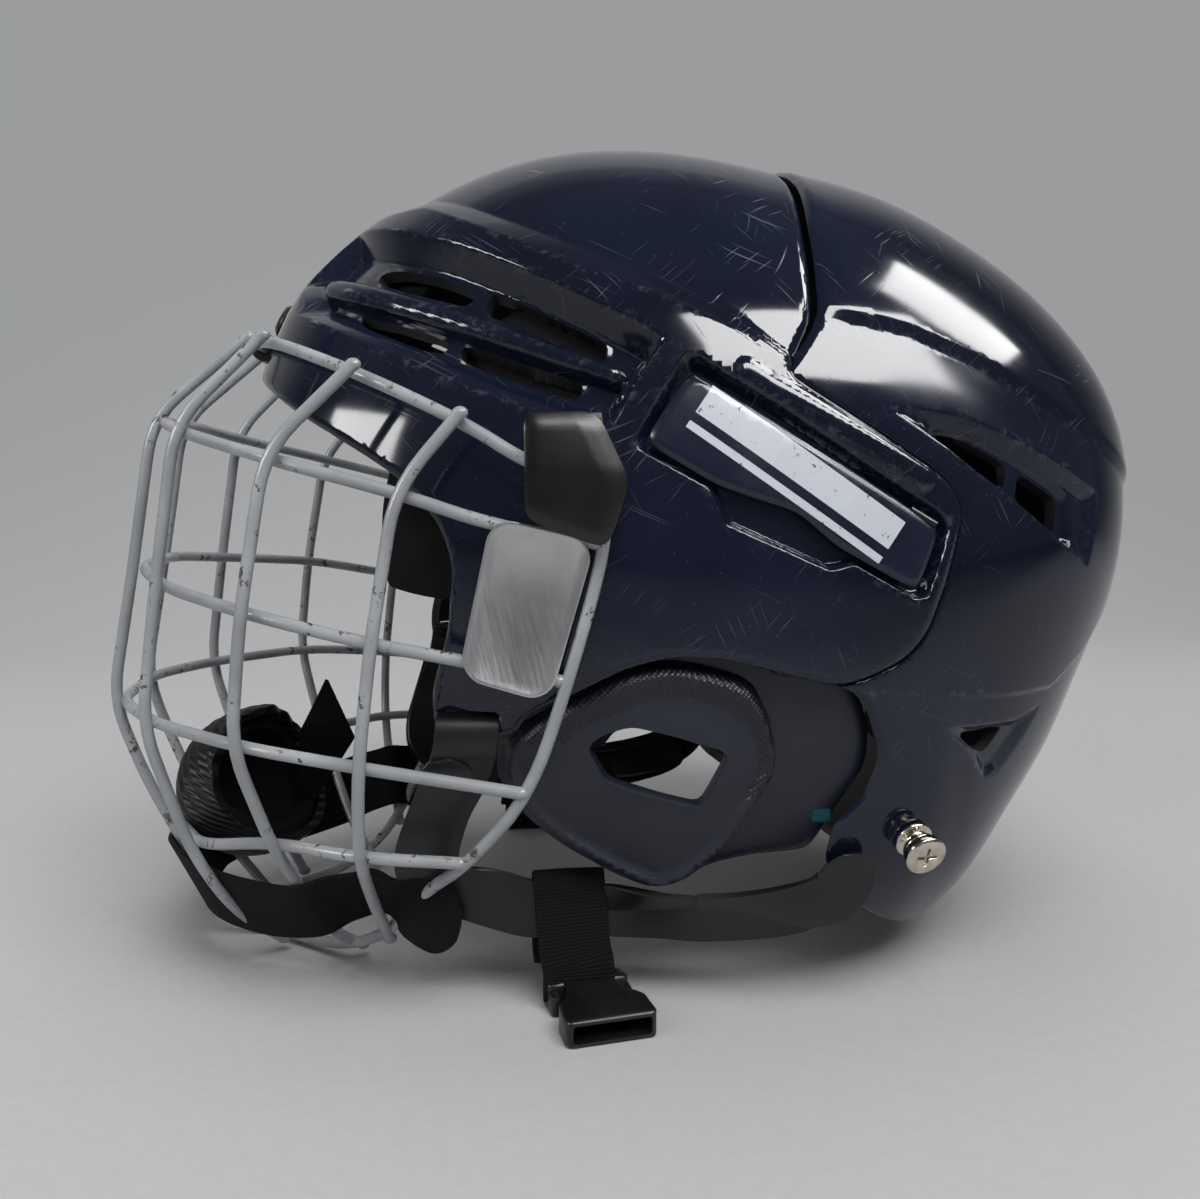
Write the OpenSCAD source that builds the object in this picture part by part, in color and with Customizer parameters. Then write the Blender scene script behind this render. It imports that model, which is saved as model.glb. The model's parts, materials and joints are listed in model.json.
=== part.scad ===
// Youth hockey helmet with a wire face cage.
// Two moulded shells slide on each other for size, and a latch on each side locks them.
// The cage swings up on a clip at the forehead, and a flap at each side holds it down.
// +Z is up, the helmet faces -X, the wearer's left is -Y, and the origin is on the floor.

/* [Shell] */
// Half of the width over the ears
half_width = 95; // [85:1:110]
// Wall of the moulded shells
wall = 3; // [2.4:0.1:4]
// Roundness of the dome, 2 is an ellipse and more is boxier
squareness = 2.4; // [2:0.05:2.6]
// How far the brow band stands proud of the crown
band_proud = 3; // [1.5:0.25:4.5]
// How far the side wings stand proud of the rear shell
wing_proud = 1.6; // [1:0.1:2.4]
// Depth of the vent recesses
recess_depth = 3.4; // [2:0.2:4.5]
// Width of the groove between the two shells on the crown
seam_gap = 3; // [1.5:0.5:5]

/* [Size adjustment] */
// How far the rear shell slides out
adjust_travel = 8; // [4:1:12]
// Clearance between the sliding shells
slide_gap = 0.4; // [0.3:0.1:0.8]

/* [Adjuster latch] */
// Thickness of the latch plate
latch_thick = 2; // [1.6:0.2:2.6]
// Radius of the latch's hinge pin
latch_pin_r = 0.8; // [0.6:0.1:1]
// Depth of the recess that the latch lies in
latch_recess_depth = 1.7; // [1.5:0.1:1.9]

/* [Cage] */
// Diameter of the cage wire
wire_d = 3; // [2.4:0.1:3.6]
// Half of the distance between the two innermost bars
bar_inner_y = 20; // [16:1:24]
// The same for the next pair
bar_mid_y = 49; // [44:1:53]
// The same for the outer pair
bar_outer_y = 79; // [75:1:82]
// The same for the pair at the sides
bar_side_y = 88; // [86:1:91]
// Thickness of the metal plate on each side of the cage
plate_thick = 1.2; // [0.8:0.1:1.6]

/* [Clips] */
// Width of the forehead clip along the top bar
clip_width = 13; // [9:1:18]
// Clearance of the top bar in the forehead clip
hinge_gap = 0.08; // [0.05:0.01:0.1]
// Wall of the vinyl clips
clip_wall = 2.4; // [1.8:0.2:3]
// Radius of the pin in each side flap
flap_pin_r = 1; // [0.8:0.1:1.3]

/* [Ear guards] */
// Thickness of the ear guard
guard_thick = 3; // [2:0.5:4]
// Height of the raised ridge round its window
guard_ridge = 3.6; // [2:0.2:5]

/* [Liner] */
// Thickness of the foam pads
pad_thick = 11; // [7:0.5:14]
// Gap between a pad and the shell
pad_gap = 0.3; // [0.2:0.1:0.6]

/* [Straps] */
// Thickness of the vinyl straps
vinyl_thick = 1.6; // [1:0.1:2.2]
// Width of the vinyl straps
vinyl_width = 15; // [12:1:18]
// Thickness of the woven webbing
web_thick = 1.4; // [1:0.1:2]
// Width of the webbing that carries the buckles
web_width = 18; // [14:1:20]
// Width of the webbing round the bottom of the cage
cage_web_width = 22; // [18:1:24]

/* [Snap posts] */
// Radius of the post's head
post_head_r = 5.2; // [4:0.1:6]
// Radius of the post's neck
post_neck_r = 3; // [2:0.1:3.6]
// Height of the post above the shell
post_height = 8; // [6:0.5:10]

/* [Hidden] */

// Shell profile in the middle plane: radii from the centre every 15 degrees,
// from the rear (0) over the crown (90) to the face (180) and back under the helmet.
centre_x = 35;
centre_z = 100;
profile_step = 15;
profile = [
    101.8, 108.8, 113.2, 112.7, 111.8, 113.5, 116.5, 125.5, 136, 143.5, 150, 152,
    146, 142, 138, 130, 122, 116, 114, 113, 108, 99, 96, 96,
];
grid_angle = 9;
grid_side = 16;
inner_angle = 12;
inner_side = 12;
rear_wall = wall + 1.2;
wire_r = wire_d / 2;
weld = 0.2;
inward = wire_d - weld;
fine = 32;
reach = 130;

// Where the brow band and the wings fade into the shell
band_fade = 24;
tongue_length = 2 * adjust_travel;
wing_start = -30;
wing_full = 12;

function at(list, i) = list[(i + len(list)) % len(list)];
function smooth_step(a, b, v) =
    let (t = min(1, max(0, (v - a) / (b - a))))
    t * t * (3 - 2 * t);
function blend4(p0, p1, p2, p3, u) =
    0.5 * (2 * p1 + (p2 - p0) * u + (2 * p0 - 5 * p1 + 4 * p2 - p3) * u * u
        + (3 * p1 - p0 - 3 * p2 + p3) * u * u * u);
function profile_radius(a) =
    let (t = (a < 0 ? a + 360 : a) / profile_step, i = floor(t))
    blend4(at(profile, i - 1), at(profile, i), at(profile, i + 1), at(profile, i + 2), t - i);
function sgn_pow(v, p) = sign(v) * pow(abs(v), p);
function dome(a, side) = [
    centre_x + profile_radius(a) * sgn_pow(cos(side), 2 / squareness) * cos(a),
    half_width * sgn_pow(sin(side), 2 / squareness),
    centre_z + profile_radius(a) * sgn_pow(cos(side), 2 / squareness) * sin(a),
];

// Height of the band's upper edge over the floor, seen from the side
function band_line(x) = lookup(x, [
    [-90, 203.5], [-57, 203.5], [-42, 193], [-20, 181.5], [3, 170], [22, 158], [47, 145], [80, 128],
]);
function raise(p) =
    let (below = band_line(p[0]) - p[2])
    max(band_proud * (1 - smooth_step(10, band_fade, below)) * (1 - smooth_step(0, 30, p[0])),
        wing_proud * smooth_step(wing_start, wing_full, p[0]));

// How far to the side the dome reaches at a point of the side view, d outside its surface
function dome_y(x, z, d) =
    let (
        v = [x - centre_x, z - centre_z],
        a = atan2(v[1], v[0]),
        share = min(0.98, norm(v) / (profile_radius(a) + d))
    )
    (half_width + d) * pow(1 - pow(share, squareness), 1 / squareness);
function grown(p, d) =
    let (
        c = [centre_x, 0, centre_z],
        v = p - c,
        r = norm([v[0], v[2]]),
        k = r < 1 ? 1 : (norm(v) + d) / norm(v)
    )
    c + v * k;

// One closed dome, d outside the middle surface; with raised the band and wings are on it.
// Hidden faces use hollow(), a coarser dome, so those that slide on each other nest.
module hollow(d) {
    form(d, step = inner_angle, rows = inner_side);
}
module form(d = 0, raised = false, step = grid_angle, rows = grid_side) {
    n = round(360 / step);
    points = concat(
        [[centre_x, -half_width - d - (raised ? wing_proud : 0), centre_z]],
        [for (j = [1:rows - 1]) for (i = [0:n - 1])
            let (p = dome(i * step, -90 + 180 * j / rows))
            grown(p, d + (raised ? raise(p) : 0))],
        [[centre_x, half_width + d + (raised ? wing_proud : 0), centre_z]]
    );
    last = len(points) - 1;
    faces = concat(
        [for (i = [0:n - 1]) [0, 1 + (i + 1) % n, 1 + i]],
        [for (j = [0:rows - 3]) for (i = [0:n - 1])
            [1 + j * n + i, 1 + j * n + (i + 1) % n, 1 + (j + 1) * n + i]],
        [for (j = [0:rows - 3]) for (i = [0:n - 1])
            [1 + j * n + (i + 1) % n, 1 + (j + 1) * n + (i + 1) % n, 1 + (j + 1) * n + i]],
        [for (i = [0:n - 1]) [last, 1 + (rows - 2) * n + i, 1 + (rows - 2) * n + (i + 1) % n]]
    );
    polyhedron(points, faces);
}

// A curved slab on the left side, over a rectangle of the side view, between two offsets
module side_slab(low, high, cells, d_out, d_in) {
    nx = cells[0] + 1;
    nz = cells[1] + 1;
    layer = nx * nz;
    points = [for (d = [d_out, d_in]) for (j = [0:nz - 1]) for (i = [0:nx - 1])
        let (
            x = low[0] + (high[0] - low[0]) * i / cells[0],
            z = low[1] + (high[1] - low[1]) * j / cells[1]
        )
        [x, -dome_y(x, z, d), z]];
    skin = [for (j = [0:nz - 2]) for (i = [0:nx - 2]) let (a = j * nx + i)
        each [[a, a + nx, a + 1], [a + 1, a + nx, a + nx + 1]]];
    rim = concat(
        [for (i = [0:nx - 1]) i],
        [for (j = [1:nz - 1]) j * nx + nx - 1],
        [for (i = [nx - 2:-1:0]) (nz - 1) * nx + i],
        [for (j = [nz - 2:-1:1]) j * nx]
    );
    polyhedron(points, concat(
        skin,
        [for (f = skin) [for (k = [2, 1, 0]) f[k] + layer]],
        [for (k = [0:len(rim) - 1]) let (a = rim[k], b = rim[(k + 1) % len(rim)])
            each [[a, b, a + layer], [b, b + layer, a + layer]]]
    ));
}

// A prism over a side view outline of x and z, from y = a to y = b
module from_side(a = -reach, b = reach) {
    translate([0, b, 0]) rotate([90, 0, 0]) linear_extrude(b - a) children();
}
// The model is drawn about the shell's centre, then moved so that the origin is under its middle
origin_shift = 3;
module place() {
    translate([origin_shift, 0, 0]) children();
}
module both_sides() {
    children();
    mirror([0, 1, 0]) children();
}
module on_side(left) {
    mirror([0, left ? 0 : 1, 0]) children();
}
module capsule(p, q, r1, r2) {
    hull() {
        translate(p) circle(r1, $fn = 12);
        translate(q) circle(r2, $fn = 12);
    }
}

// Side view outlines, x and z
brow_rim = [[-120, 168], [-104, 157], [-92, 148], [-74, 137], [-66, 131.5], [-58, 122]];
temple = [[-55, 113], [-56, 97], [-60, 82], [-60, 74], [-57, 71.5], [-41, 71.5]];
ear_top = [[-39, 76], [-29, 81.5], [-16, 88.5], [-5, 91.5], [7, 91], [34, 84]];
wing_edge = [[41, 87], [53, 94], [58, 100], [60.5, 115], [63.5, 122], [61, 131], [47, 144], [22, 157]];
crown_seam = [[30, 170], [32, 193], [35, 208], [36, 236]];
front_outline = concat(brow_rim, temple, ear_top, wing_edge, crown_seam, [[-120, 236]]);
ear_rear = [[34, 84], [41, 80], [46, 66], [43, 56], [36, 48], [35, 39], [42, 26]];
nape_rim = [[54, 17.5], [72, 7.5], [84, 0], [170, 0]];
vent_outline = [
    [-90, 199], [-77, 197], [-63, 192], [-44, 184], [-27, 175], [-9, 165], [-4, 161],
    [-18, 143], [-22, 147.5], [-41, 150], [-60, 157], [-80, 168], [-92, 173.5],
];
latch_recess = [
    [1, 158], [-13, 141], [-9, 135], [3, 129.5], [8, 121], [20, 115], [30, 111.5], [37, 111.5],
    [52, 104], [56, 106.5], [61.5, 120], [59, 124],
];
latch_outline = [
    [-0.4, 153.6], [-10.5, 141], [-7.5, 136.5], [5, 131.5], [14, 128.5], [24, 122], [37, 114],
    [51.5, 106.8], [53.5, 108.5], [57, 118.6],
];
rear_vent = [[46, 149.5], [70, 146.5], [85, 140], [99, 129], [100, 114], [94, 116], [72, 130],
    [52, 142]];
low_vent = [[62, 72], [98, 75], [79, 55]];

// The wing's underside lies this far under the dome, and the rear shell's rebate further
wing_under = -0.2;
rebate = wing_under - 2.2;

module outline(points) {
    polygon(points);
}

module front_vent_slots() {
    from_side() capsule([-71, 182.2], [-52, 176.6], 2.2, 2.9);
    from_side() capsule([-44, 173.4], [-22, 163.2], 3, 2.8);
    from_side() capsule([-76, 171], [-58, 164.4], 2, 2.3);
    from_side() capsule([-51, 161], [-28, 154.2], 2.4, 2.2);
}

module above_band() {
    from_side() polygon(concat(
        [for (x = [-130, -57, -42, -20, 3, 22]) [x, band_line(x)]],
        [[30, 170], [120, 170], [120, 260], [-130, 260]]
    ));
}
module pocket_cut(depth) {
    difference() {
        from_side() children();
        form(-depth);
    }
}

module front_shell() {
    color("#16203a")
    difference() {
        union() {
            difference() {
                union() {
                    difference() {
                        intersection() {
                            form(0, raised = true);
                            from_side() outline(front_outline);
                        }
                        difference() {
                            above_band();
                            form(0);
                        }
                        hollow(-wall);
                        // Room for the rear shell's flange under the wing
                        intersection() {
                            hollow(wing_under);
                            from_side() polygon([
                                [34 - tongue_length - 2, 80], [34 - tongue_length - 2, 156], [22, 159],
                                [30, 160], [120, 150], [120, 60], [34, 60],
                            ]);
                        }
                    }
                    intersection() {
                        difference() {
                            form(-1);
                            hollow(-recess_depth - 2.4);
                        }
                        from_side() offset(delta = 2.2) outline(vent_outline);
                    }
                }
                difference() {
                    both_sides() from_side(-reach, -18) outline(vent_outline);
                    form(-recess_depth);
                }
                difference() {
                    both_sides() from_side(-reach, -60) outline(latch_recess);
                    form(-latch_recess_depth);
                }
            }
            // The bar that divides the front vents
            intersection() {
                difference() {
                    form(-0.4);
                    hollow(-recess_depth - 1);
                }
                both_sides() from_side(-reach, -10) capsule([-84, 180.5], [-17, 154.5], 3.2, 1.8);
            }
            // Bosses for the ear guards
            both_sides() difference() {
                for (p = guard_screws)
                    guard_boss(p, -wall + 1, guard_seat + 0.1) cylinder(h = 1, r = 3, $fn = 12);
                guard_plate(0.3);
            }
        }
        both_sides() front_vent_slots();
        both_sides() from_side(-reach, -40) capsule([-57, 76.2], [-44.5, 76.2], 1.5, 1.5);
        // Screw holes of the forehead clip, the flap bases and the ear guards
        at_brow() cylinder(h = 24, r = 2.2, center = true, $fn = 24);
        both_sides() at_flap_screw() cylinder(h = 24, r = 1.8, center = true, $fn = 24);
        both_sides() for (p = guard_screws)
            guard_boss(p, -wall + 1.2, guard_seat - 1) cylinder(h = 1, r = 1.4, $fn = 12);
    }
}

module rear_shell() {
    color("#131c33")
    difference() {
        union() {
            difference() {
                intersection() {
                    form(0);
                    from_side() outline(concat(
                        [[34 - tongue_length, 85]], ear_rear, nape_rim,
                        [[170, 236], [36 + seam_gap, 236], [30 + seam_gap, 170], [24, 158],
                         [34 - tongue_length, 154]]
                    ));
                }
                hollow(-rear_wall);
                // The rebate that the wing lies in
                difference() {
                    from_side() polygon(concat(
                        [[-40, 60], [33, 60]],
                        [for (p = wing_edge) p + [slide_gap, p[1] > 125 ? slide_gap : -slide_gap]],
                        [[22, 159], [-40, 159]]
                    ));
                    hollow(rebate);
                }
            }
            intersection() {
                difference() {
                    form(-1);
                    hollow(-recess_depth - 2);
                }
                from_side() union() {
                    offset(delta = 2) outline(rear_vent);
                    offset(delta = 2) outline(low_vent);
                }
            }
            // The tongue that reaches under the front shell's crown
            difference() {
                intersection() {
                    hollow(-wall - slide_gap);
                    from_side() polygon([
                        [30 - tongue_length, 164], [30 - tongue_length, 236], [48, 236], [48, 164],
                    ]);
                }
                hollow(-wall - slide_gap - 2.4);
            }
            // Ratchet ribs that the latch holds
            intersection() {
                difference() {
                    form(rebate + 0.5);
                    hollow(-rear_wall + 0.6);
                }
                both_sides() from_side(-reach, -60) for (k = [0:4])
                    translate([26 + 4 * k, 124.5 - 1.9 * k]) rotate(-30) square([1, 8], center = true);
            }
        }
        pocket_cut(recess_depth - 1) outline(rear_vent);
        pocket_cut(recess_depth - 1.6) outline(low_vent);
        both_sides() {
            from_side() capsule([63, 141.5], [77, 133.6], 1.6, 3);
            from_side() capsule([85, 129.6], [92.5, 123.6], 3, 2.6);
            from_side() capsule([69.5, 68], [78, 67.2], 1.6, 1.8);
        }
        hollow(-wall - slide_gap - 2.4);
        both_sides() post_at() cylinder(h = 30, r = 2.1, center = true, $fn = 24);
    }
}

// Latch plate, hinged on two short pins along its upper edge
latch_mid = wing_proud + 0.4 - latch_thick / 2;
function on_dome(p, d) = [p[0], -dome_y(p[0], p[1], d), p[1]];
latch_hinge_a = on_dome([3.2, 152.6], latch_mid);
latch_hinge_b = on_dome([53.6, 123], latch_mid);
module along(p, q) {
    v = q - p;
    translate(p) rotate([0, acos(v[2] / norm(v)), atan2(v[1], v[0])]) children();
}
latch_hinge_len = norm(latch_hinge_b - latch_hinge_a);
latch_knuckle = 4;
latch_knuckle_r = latch_pin_r + 0.8;
module latch_knuckles(r, h, extra) {
    along(latch_hinge_a, latch_hinge_b) {
        translate([0, 0, -extra]) cylinder(h = h + extra, r = r, $fn = fine);
        translate([0, 0, latch_hinge_len - h]) cylinder(h = h + extra, r = r, $fn = fine);
    }
}
module latch(left) {
    color("#0f1730")
    on_side(left) difference() {
        union() {
            intersection() {
                side_slab([-14, 102], [62, 160], [9, 7], latch_mid + latch_thick / 2,
                    latch_mid - latch_thick / 2);
                from_side(-reach, -60) outline(latch_outline);
            }
            latch_knuckles(latch_knuckle_r, latch_knuckle, 0);
        }
        latch_knuckles(latch_pin_r + 0.05, latch_knuckle, 1);
    }
}

module latch_pins() {
    color("#9a9da3")
    both_sides() latch_knuckles(latch_pin_r, latch_knuckle - 0.4, 3.4);
}

// Snap posts on the rear shell
post_foot = on_dome([57, 44], 0);
post_tilt = 21;
module post_at() {
    translate(post_foot) rotate([90 + post_tilt, 0, 8]) children();
}
module snap_post(left) {
    color("#c9c5bd")
    on_side(left) post_at() difference() {
        rotate_extrude($fn = 48) polygon([
            [0, -rear_wall - 3.6], [2, -rear_wall - 3.6], [2, 0.2], [post_head_r - 0.8, 0.2],
            [post_head_r - 0.4, 0.6],
            [post_head_r - 0.4, 1.4], [post_neck_r + 0.4, 1.9], [post_neck_r, 2.4],
            [post_neck_r, 3.2], [post_head_r - 1, 3.6], [post_head_r - 1, 4.6],
            [post_neck_r + 0.6, 5], [post_head_r, post_height - 2.4], [post_head_r, post_height - 0.6],
            [post_head_r - 0.8, post_height], [0, post_height],
        ]);
        for (a = [0, 90])
            rotate([0, 0, a]) translate([-2.6, -0.45, post_height - 1]) cube([5.2, 0.9, 2]);
    }
}
module snap_post_nuts() {
    color("#8d8f93")
    both_sides() post_at() translate([0, 0, -rear_wall - 2.8]) difference() {
        cylinder(h = 1.8, r = 5, $fn = fine);
        translate([0, 0, -1]) cylinder(h = 4, r = 2.05, $fn = fine);
    }
}

// Wire paths: bends of a polyline rounded over a length d with k points
function unit(v) = v / norm(v);
function bend(a, b, c, d, k) =
    let (
        u = min(d, 0.46 * norm(a - b)),
        v = min(d, 0.46 * norm(c - b)),
        p = b + unit(a - b) * u,
        q = b + unit(c - b) * v
    )
    [for (i = [0:k]) let (t = i / k) (1 - t) * (1 - t) * p + 2 * t * (1 - t) * b + t * t * q];
function rounded(path, d, k) = concat(
    [path[0]],
    [for (i = [1:len(path) - 2]) each bend(path[i - 1], path[i], path[i + 1], d, k)],
    [path[len(path) - 1]]
);
function mirrored(half) = concat(
    [for (i = [len(half) - 1:-1:0]) [half[i][0], -half[i][1], half[i][2]]],
    half
);
module tube(path, r, guide, sides = 6) {
    n = len(path);
    points = [for (i = [0:n - 1])
        let (
            t = unit(path[min(i + 1, n - 1)] - path[max(i - 1, 0)]),
            u = unit(cross(t, guide)),
            v = cross(t, u)
        )
        for (s = [0:sides - 1])
            path[i] + r * (cos(360 * s / sides) * u + sin(360 * s / sides) * v)];
    faces = concat(
        [[for (s = [0:sides - 1]) s]],
        [for (i = [0:n - 2]) for (s = [0:sides - 1])
            let (a = i * sides + s, b = i * sides + (s + 1) % sides)
            each [[a, a + sides, b], [b, a + sides, b + sides]]],
        [[for (s = [sides - 1:-1:0]) (n - 1) * sides + s]]
    );
    polyhedron(points, faces);
}

// The hinge axis of the cage is the straight middle of the top bar
hinge_x = -104;
hinge_z = 167.4;
frame_half = [
    [hinge_x, bar_inner_y, hinge_z], [-96, bar_mid_y, 165], [-73.5, bar_outer_y - 2.6, 155.2],
    [-51, 86, 144.3], [-36, 91.5, 134.5], [-21, 93, 131], [-19.7, 92.6, 118], [-28, 92.6, 88],
    [-37.4, 92, 60], [-52, 84.5, 41.5], [-62, 70, 30.5], [-72, 51, 12.5], [-85, 35, 3.6],
    [-104, 18, 2.4],
];
bar_inner = [
    [hinge_x - inward - 0.3, bar_inner_y, hinge_z + 1.6], [-132, bar_inner_y, 147.2],
    [-138.7, bar_inner_y, 107.3],
    [-145.5, bar_inner_y, 70.9], [-137.5, bar_inner_y - 1, 47.5], [-123, bar_inner_y - 2, 18],
    [-110, bar_inner_y - 6, 2.6],
];
bar_mid = [
    [-98.9, bar_mid_y, 166.6], [-120.6, bar_mid_y, 145], [-126.9, bar_mid_y, 104],
    [-131.4, bar_mid_y, 69.9],
    [-121.4, bar_mid_y - 2, 36.4], [-112, bar_mid_y - 7, 18], [-101, bar_mid_y - 21, 4],
];
bar_outer = [
    [-75.5, bar_outer_y, 157.4], [-95.5, bar_outer_y, 138], [-102.2, bar_outer_y - 0.6, 100.5],
    [-105.4, bar_outer_y - 2.4, 69.8], [-97.7, bar_outer_y - 13, 40.8], [-86, bar_outer_y - 33, 12],
    [-79, bar_outer_y - 43, 4.4],
];
bar_side = [
    [-52, bar_side_y + 0.8, 146.4], [-66.5, bar_side_y, 129.5], [-72.7, bar_side_y, 94.3],
    [-76, bar_side_y + 0.4, 66], [-76.6, bar_side_y - 4, 45], [-74.6, bar_side_y - 20, 28.5],
    [-71, bar_side_y - 36, 12],
];
cross_eye = [
    [-132 + inward, bar_inner_y, 146.5], [-117.9, bar_mid_y - 0.6, 142.4],
    [-93.9, bar_outer_y - 2.2, 136],
    [-65.7, bar_side_y - 2.7, 128.6], [-46, 90.2, 121.8], [-22.4, 92.2, 117.6],
];
cross_nose = [
    [-138.7 + inward, bar_inner_y, 107.2], [-124.1, bar_mid_y - 0.4, 104.3],
    [-99.7, bar_outer_y - 2.4, 100.6],
    [-72.4, bar_side_y - 2.8, 94.6], [-52, 90.2, 91.2], [-30.6, 92, 86.4],
];
cross_mouth = [
    [-145.3 + inward, bar_inner_y, 70.9], [-128.7, bar_mid_y - 0.6, 70.2],
    [-103.2, bar_outer_y - 4, 69.4],
    [-75.8, bar_side_y - 2.5, 66.2], [-39.5, 91.6, 60.6],
];
cross_chin = [
    [-133.7, 5, 34.4], [-128.2, bar_inner_y - 2, 33.6], [-118.8, bar_mid_y - 3.5, 37],
    [-98.8, bar_outer_y - 16.2, 42.6],
    [-76.2, bar_side_y - 6.8, 43.6], [-53.4, 83.4, 42],
];

module cage_frame() {
    color("#c4c7c9") {
        along([hinge_x, -bar_inner_y + 4, hinge_z], [hinge_x, bar_inner_y - 4, hinge_z])
            cylinder(h = 2 * bar_inner_y - 8, r = wire_r, $fn = fine);
        tube(concat(
            [[hinge_x, -bar_inner_y + 4.4, hinge_z]],
            rounded([for (p = frame_half) [p[0], -p[1], p[2]]], 14, 3),
            [for (p = rounded([for (i = [len(frame_half) - 1:-1:0]) frame_half[i]], 14, 3)) p],
            [[hinge_x, bar_inner_y - 4.4, hinge_z]]
        ), wire_r, [0.6, 0.1, -0.5]);
    }
}
module cross_bar(half) {
    color("#c4c7c9")
    tube(rounded(mirrored(half), 12, 2), wire_r, [0, 0, 1]);
}
module upright(path, left) {
    color("#c4c7c9")
    on_side(!left) tube(rounded(path, 9, 2), wire_r, [0, 1, 0]);
}

module cage_plate(left) {
    color("#b9b6b4")
    on_side(left)
    multmatrix([[1, 0, 0, 0], [-0.05, 1, 0, -94.95], [0, 0, 1, 0], [0, 0, 0, 1]])
        rotate([90, 0, 0]) linear_extrude(plate_thick)
            offset(r = 5, $fn = 24) offset(delta = -5)
                polygon([[-45.5, 123.5], [-22.5, 118], [-33, 82], [-53, 88]]);
}

// Forehead clip: a vinyl loop round the top bar, screwed to the brow
brow_angle = 150.6;
brow_r = profile_radius(brow_angle);
forehead_tilt = brow_angle - 90;
module at_brow() {
    translate([centre_x + brow_r * cos(brow_angle), 0, centre_z + brow_r * sin(brow_angle)])
        rotate([0, -forehead_tilt, 0]) children();
}
module forehead_clip() {
    color("#141416")
    difference() {
        translate([0, clip_width / 2, 0]) rotate([90, 0, 0]) linear_extrude(clip_width) difference() {
            union() {
                translate([hinge_x, hinge_z]) circle(wire_r + clip_wall, $fn = fine);
                translate([centre_x, centre_z]) rotate(brow_angle)
                    translate([brow_r - 1, -5]) square([1 + clip_wall, 15]);
            }
            polygon(concat([[centre_x, centre_z]], [for (a = [140:2:166])
                [centre_x, centre_z] + (profile_radius(a) + 0.4) * [cos(a), sin(a)]]));
        }
        translate([hinge_x, 0, hinge_z]) rotate([90, 0, 0])
            cylinder(h = 2 * clip_width, r = wire_r + hinge_gap, center = true, $fn = fine);
        at_brow() cylinder(h = 24, r = 2.1, center = true, $fn = fine);
    }
}
module forehead_screw() {
    color("#1b1b1d")
    at_brow() rotate_extrude($fn = fine) polygon([
        [0, -6.4], [2, -6.4], [2, clip_wall + 0.1], [5, clip_wall + 0.1], [5, clip_wall + 1.2],
        [3.8, clip_wall + 2.3], [0, clip_wall + 2.6],
    ]);
}

// Side flaps that cover the wire of the cage, each hinged on a base on the shell
flap_outer_y = half_width + 2.4;
flap_hinge = [-28.5, 143.2];
flap_knuckle_r = flap_pin_r + 1.1;
flap_ears = [-36, -24.4];
flap_ear_width = 3.4;
flap_hinge_y = dome_y(-24.7, flap_hinge[1], 2) + flap_knuckle_r + 0.3;
module flap_cylinder(x0, x1, r) {
    translate([x0, -flap_hinge_y, flap_hinge[1]]) rotate([0, 90, 0])
        cylinder(h = x1 - x0, r = r, $fn = fine);
}
module at_flap_screw() {
    translate(on_dome([-26.5, 138.8], 0)) rotate([90 - 26, 0, -14]) children();
}
module flap_base(left) {
    color("#101012")
    on_side(left) difference() {
        union() {
            intersection() {
                side_slab([-39, 134], [-17, 149], [3, 3], 1.7, 0.5);
                from_side(-reach, -60)
                    polygon([[-33.5, 139.4], [-36.5, 146.6], [-20.5, 146.6], [-19.5, 136.4]]);
            }
            for (x = flap_ears) {
                flap_cylinder(x, x + flap_ear_width, flap_knuckle_r);
                intersection() {
                    side_slab([-39, 139], [-17, 147], [3, 1], 3.8, 0.5);
                    from_side(-reach, -60) translate([x, flap_hinge[1] - 0.5])
                        square([flap_ear_width, 2]);
                }
            }
        }
        flap_cylinder(-40, -17, flap_pin_r);
        at_flap_screw() {
            cylinder(h = 24, r = 1.8, center = true, $fn = fine);
            translate([0, 0, 2.1]) cylinder(h = 4, r = 2.6, $fn = fine);
        }
    }
}
module flap_pins() {
    color("#3a3b3e")
    both_sides() flap_cylinder(-35.8, -21.2, flap_pin_r);
}
module side_flap(left) {
    color("#0d0d0e")
    on_side(left) difference() {
        union() {
            intersection() {
                translate([-45, 0, 0]) rotate([90, 0, 90]) linear_extrude(34) polygon([
                    [-flap_hinge_y - flap_knuckle_r, flap_hinge[1] + 0.4], [-flap_outer_y, 134],
                    [-flap_outer_y, 116], [-flap_outer_y + clip_wall, 116],
                    [-flap_outer_y + clip_wall, 133],
                    [-flap_hinge_y - flap_knuckle_r + 1.6, flap_hinge[1] - 2.2],
                ]);
                from_side(-reach, -60) offset(r = 2, $fn = 16) offset(delta = -2)
                    polygon([[-39, 146], [-21.6, 146], [-15.6, 131], [-20, 118.2], [-38.6, 123.6]]);
            }
            flap_cylinder(-32.3, -24.7, flap_knuckle_r);
        }
        flap_cylinder(-33, -24, flap_pin_r + 0.05);
        for (x = flap_ears)
            flap_cylinder(x - 0.4, x + flap_ear_width + 0.3, flap_knuckle_r + 0.3);
    }
}
module flap_base_screws() {
    color("#77797d")
    both_sides() at_flap_screw() {
        translate([0, 0, -6]) cylinder(h = 8.4, r = 1.6, $fn = fine);
        translate([0, 0, 2.2]) cylinder(h = 0.9, r = 2.4, $fn = fine);
    }
}

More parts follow.
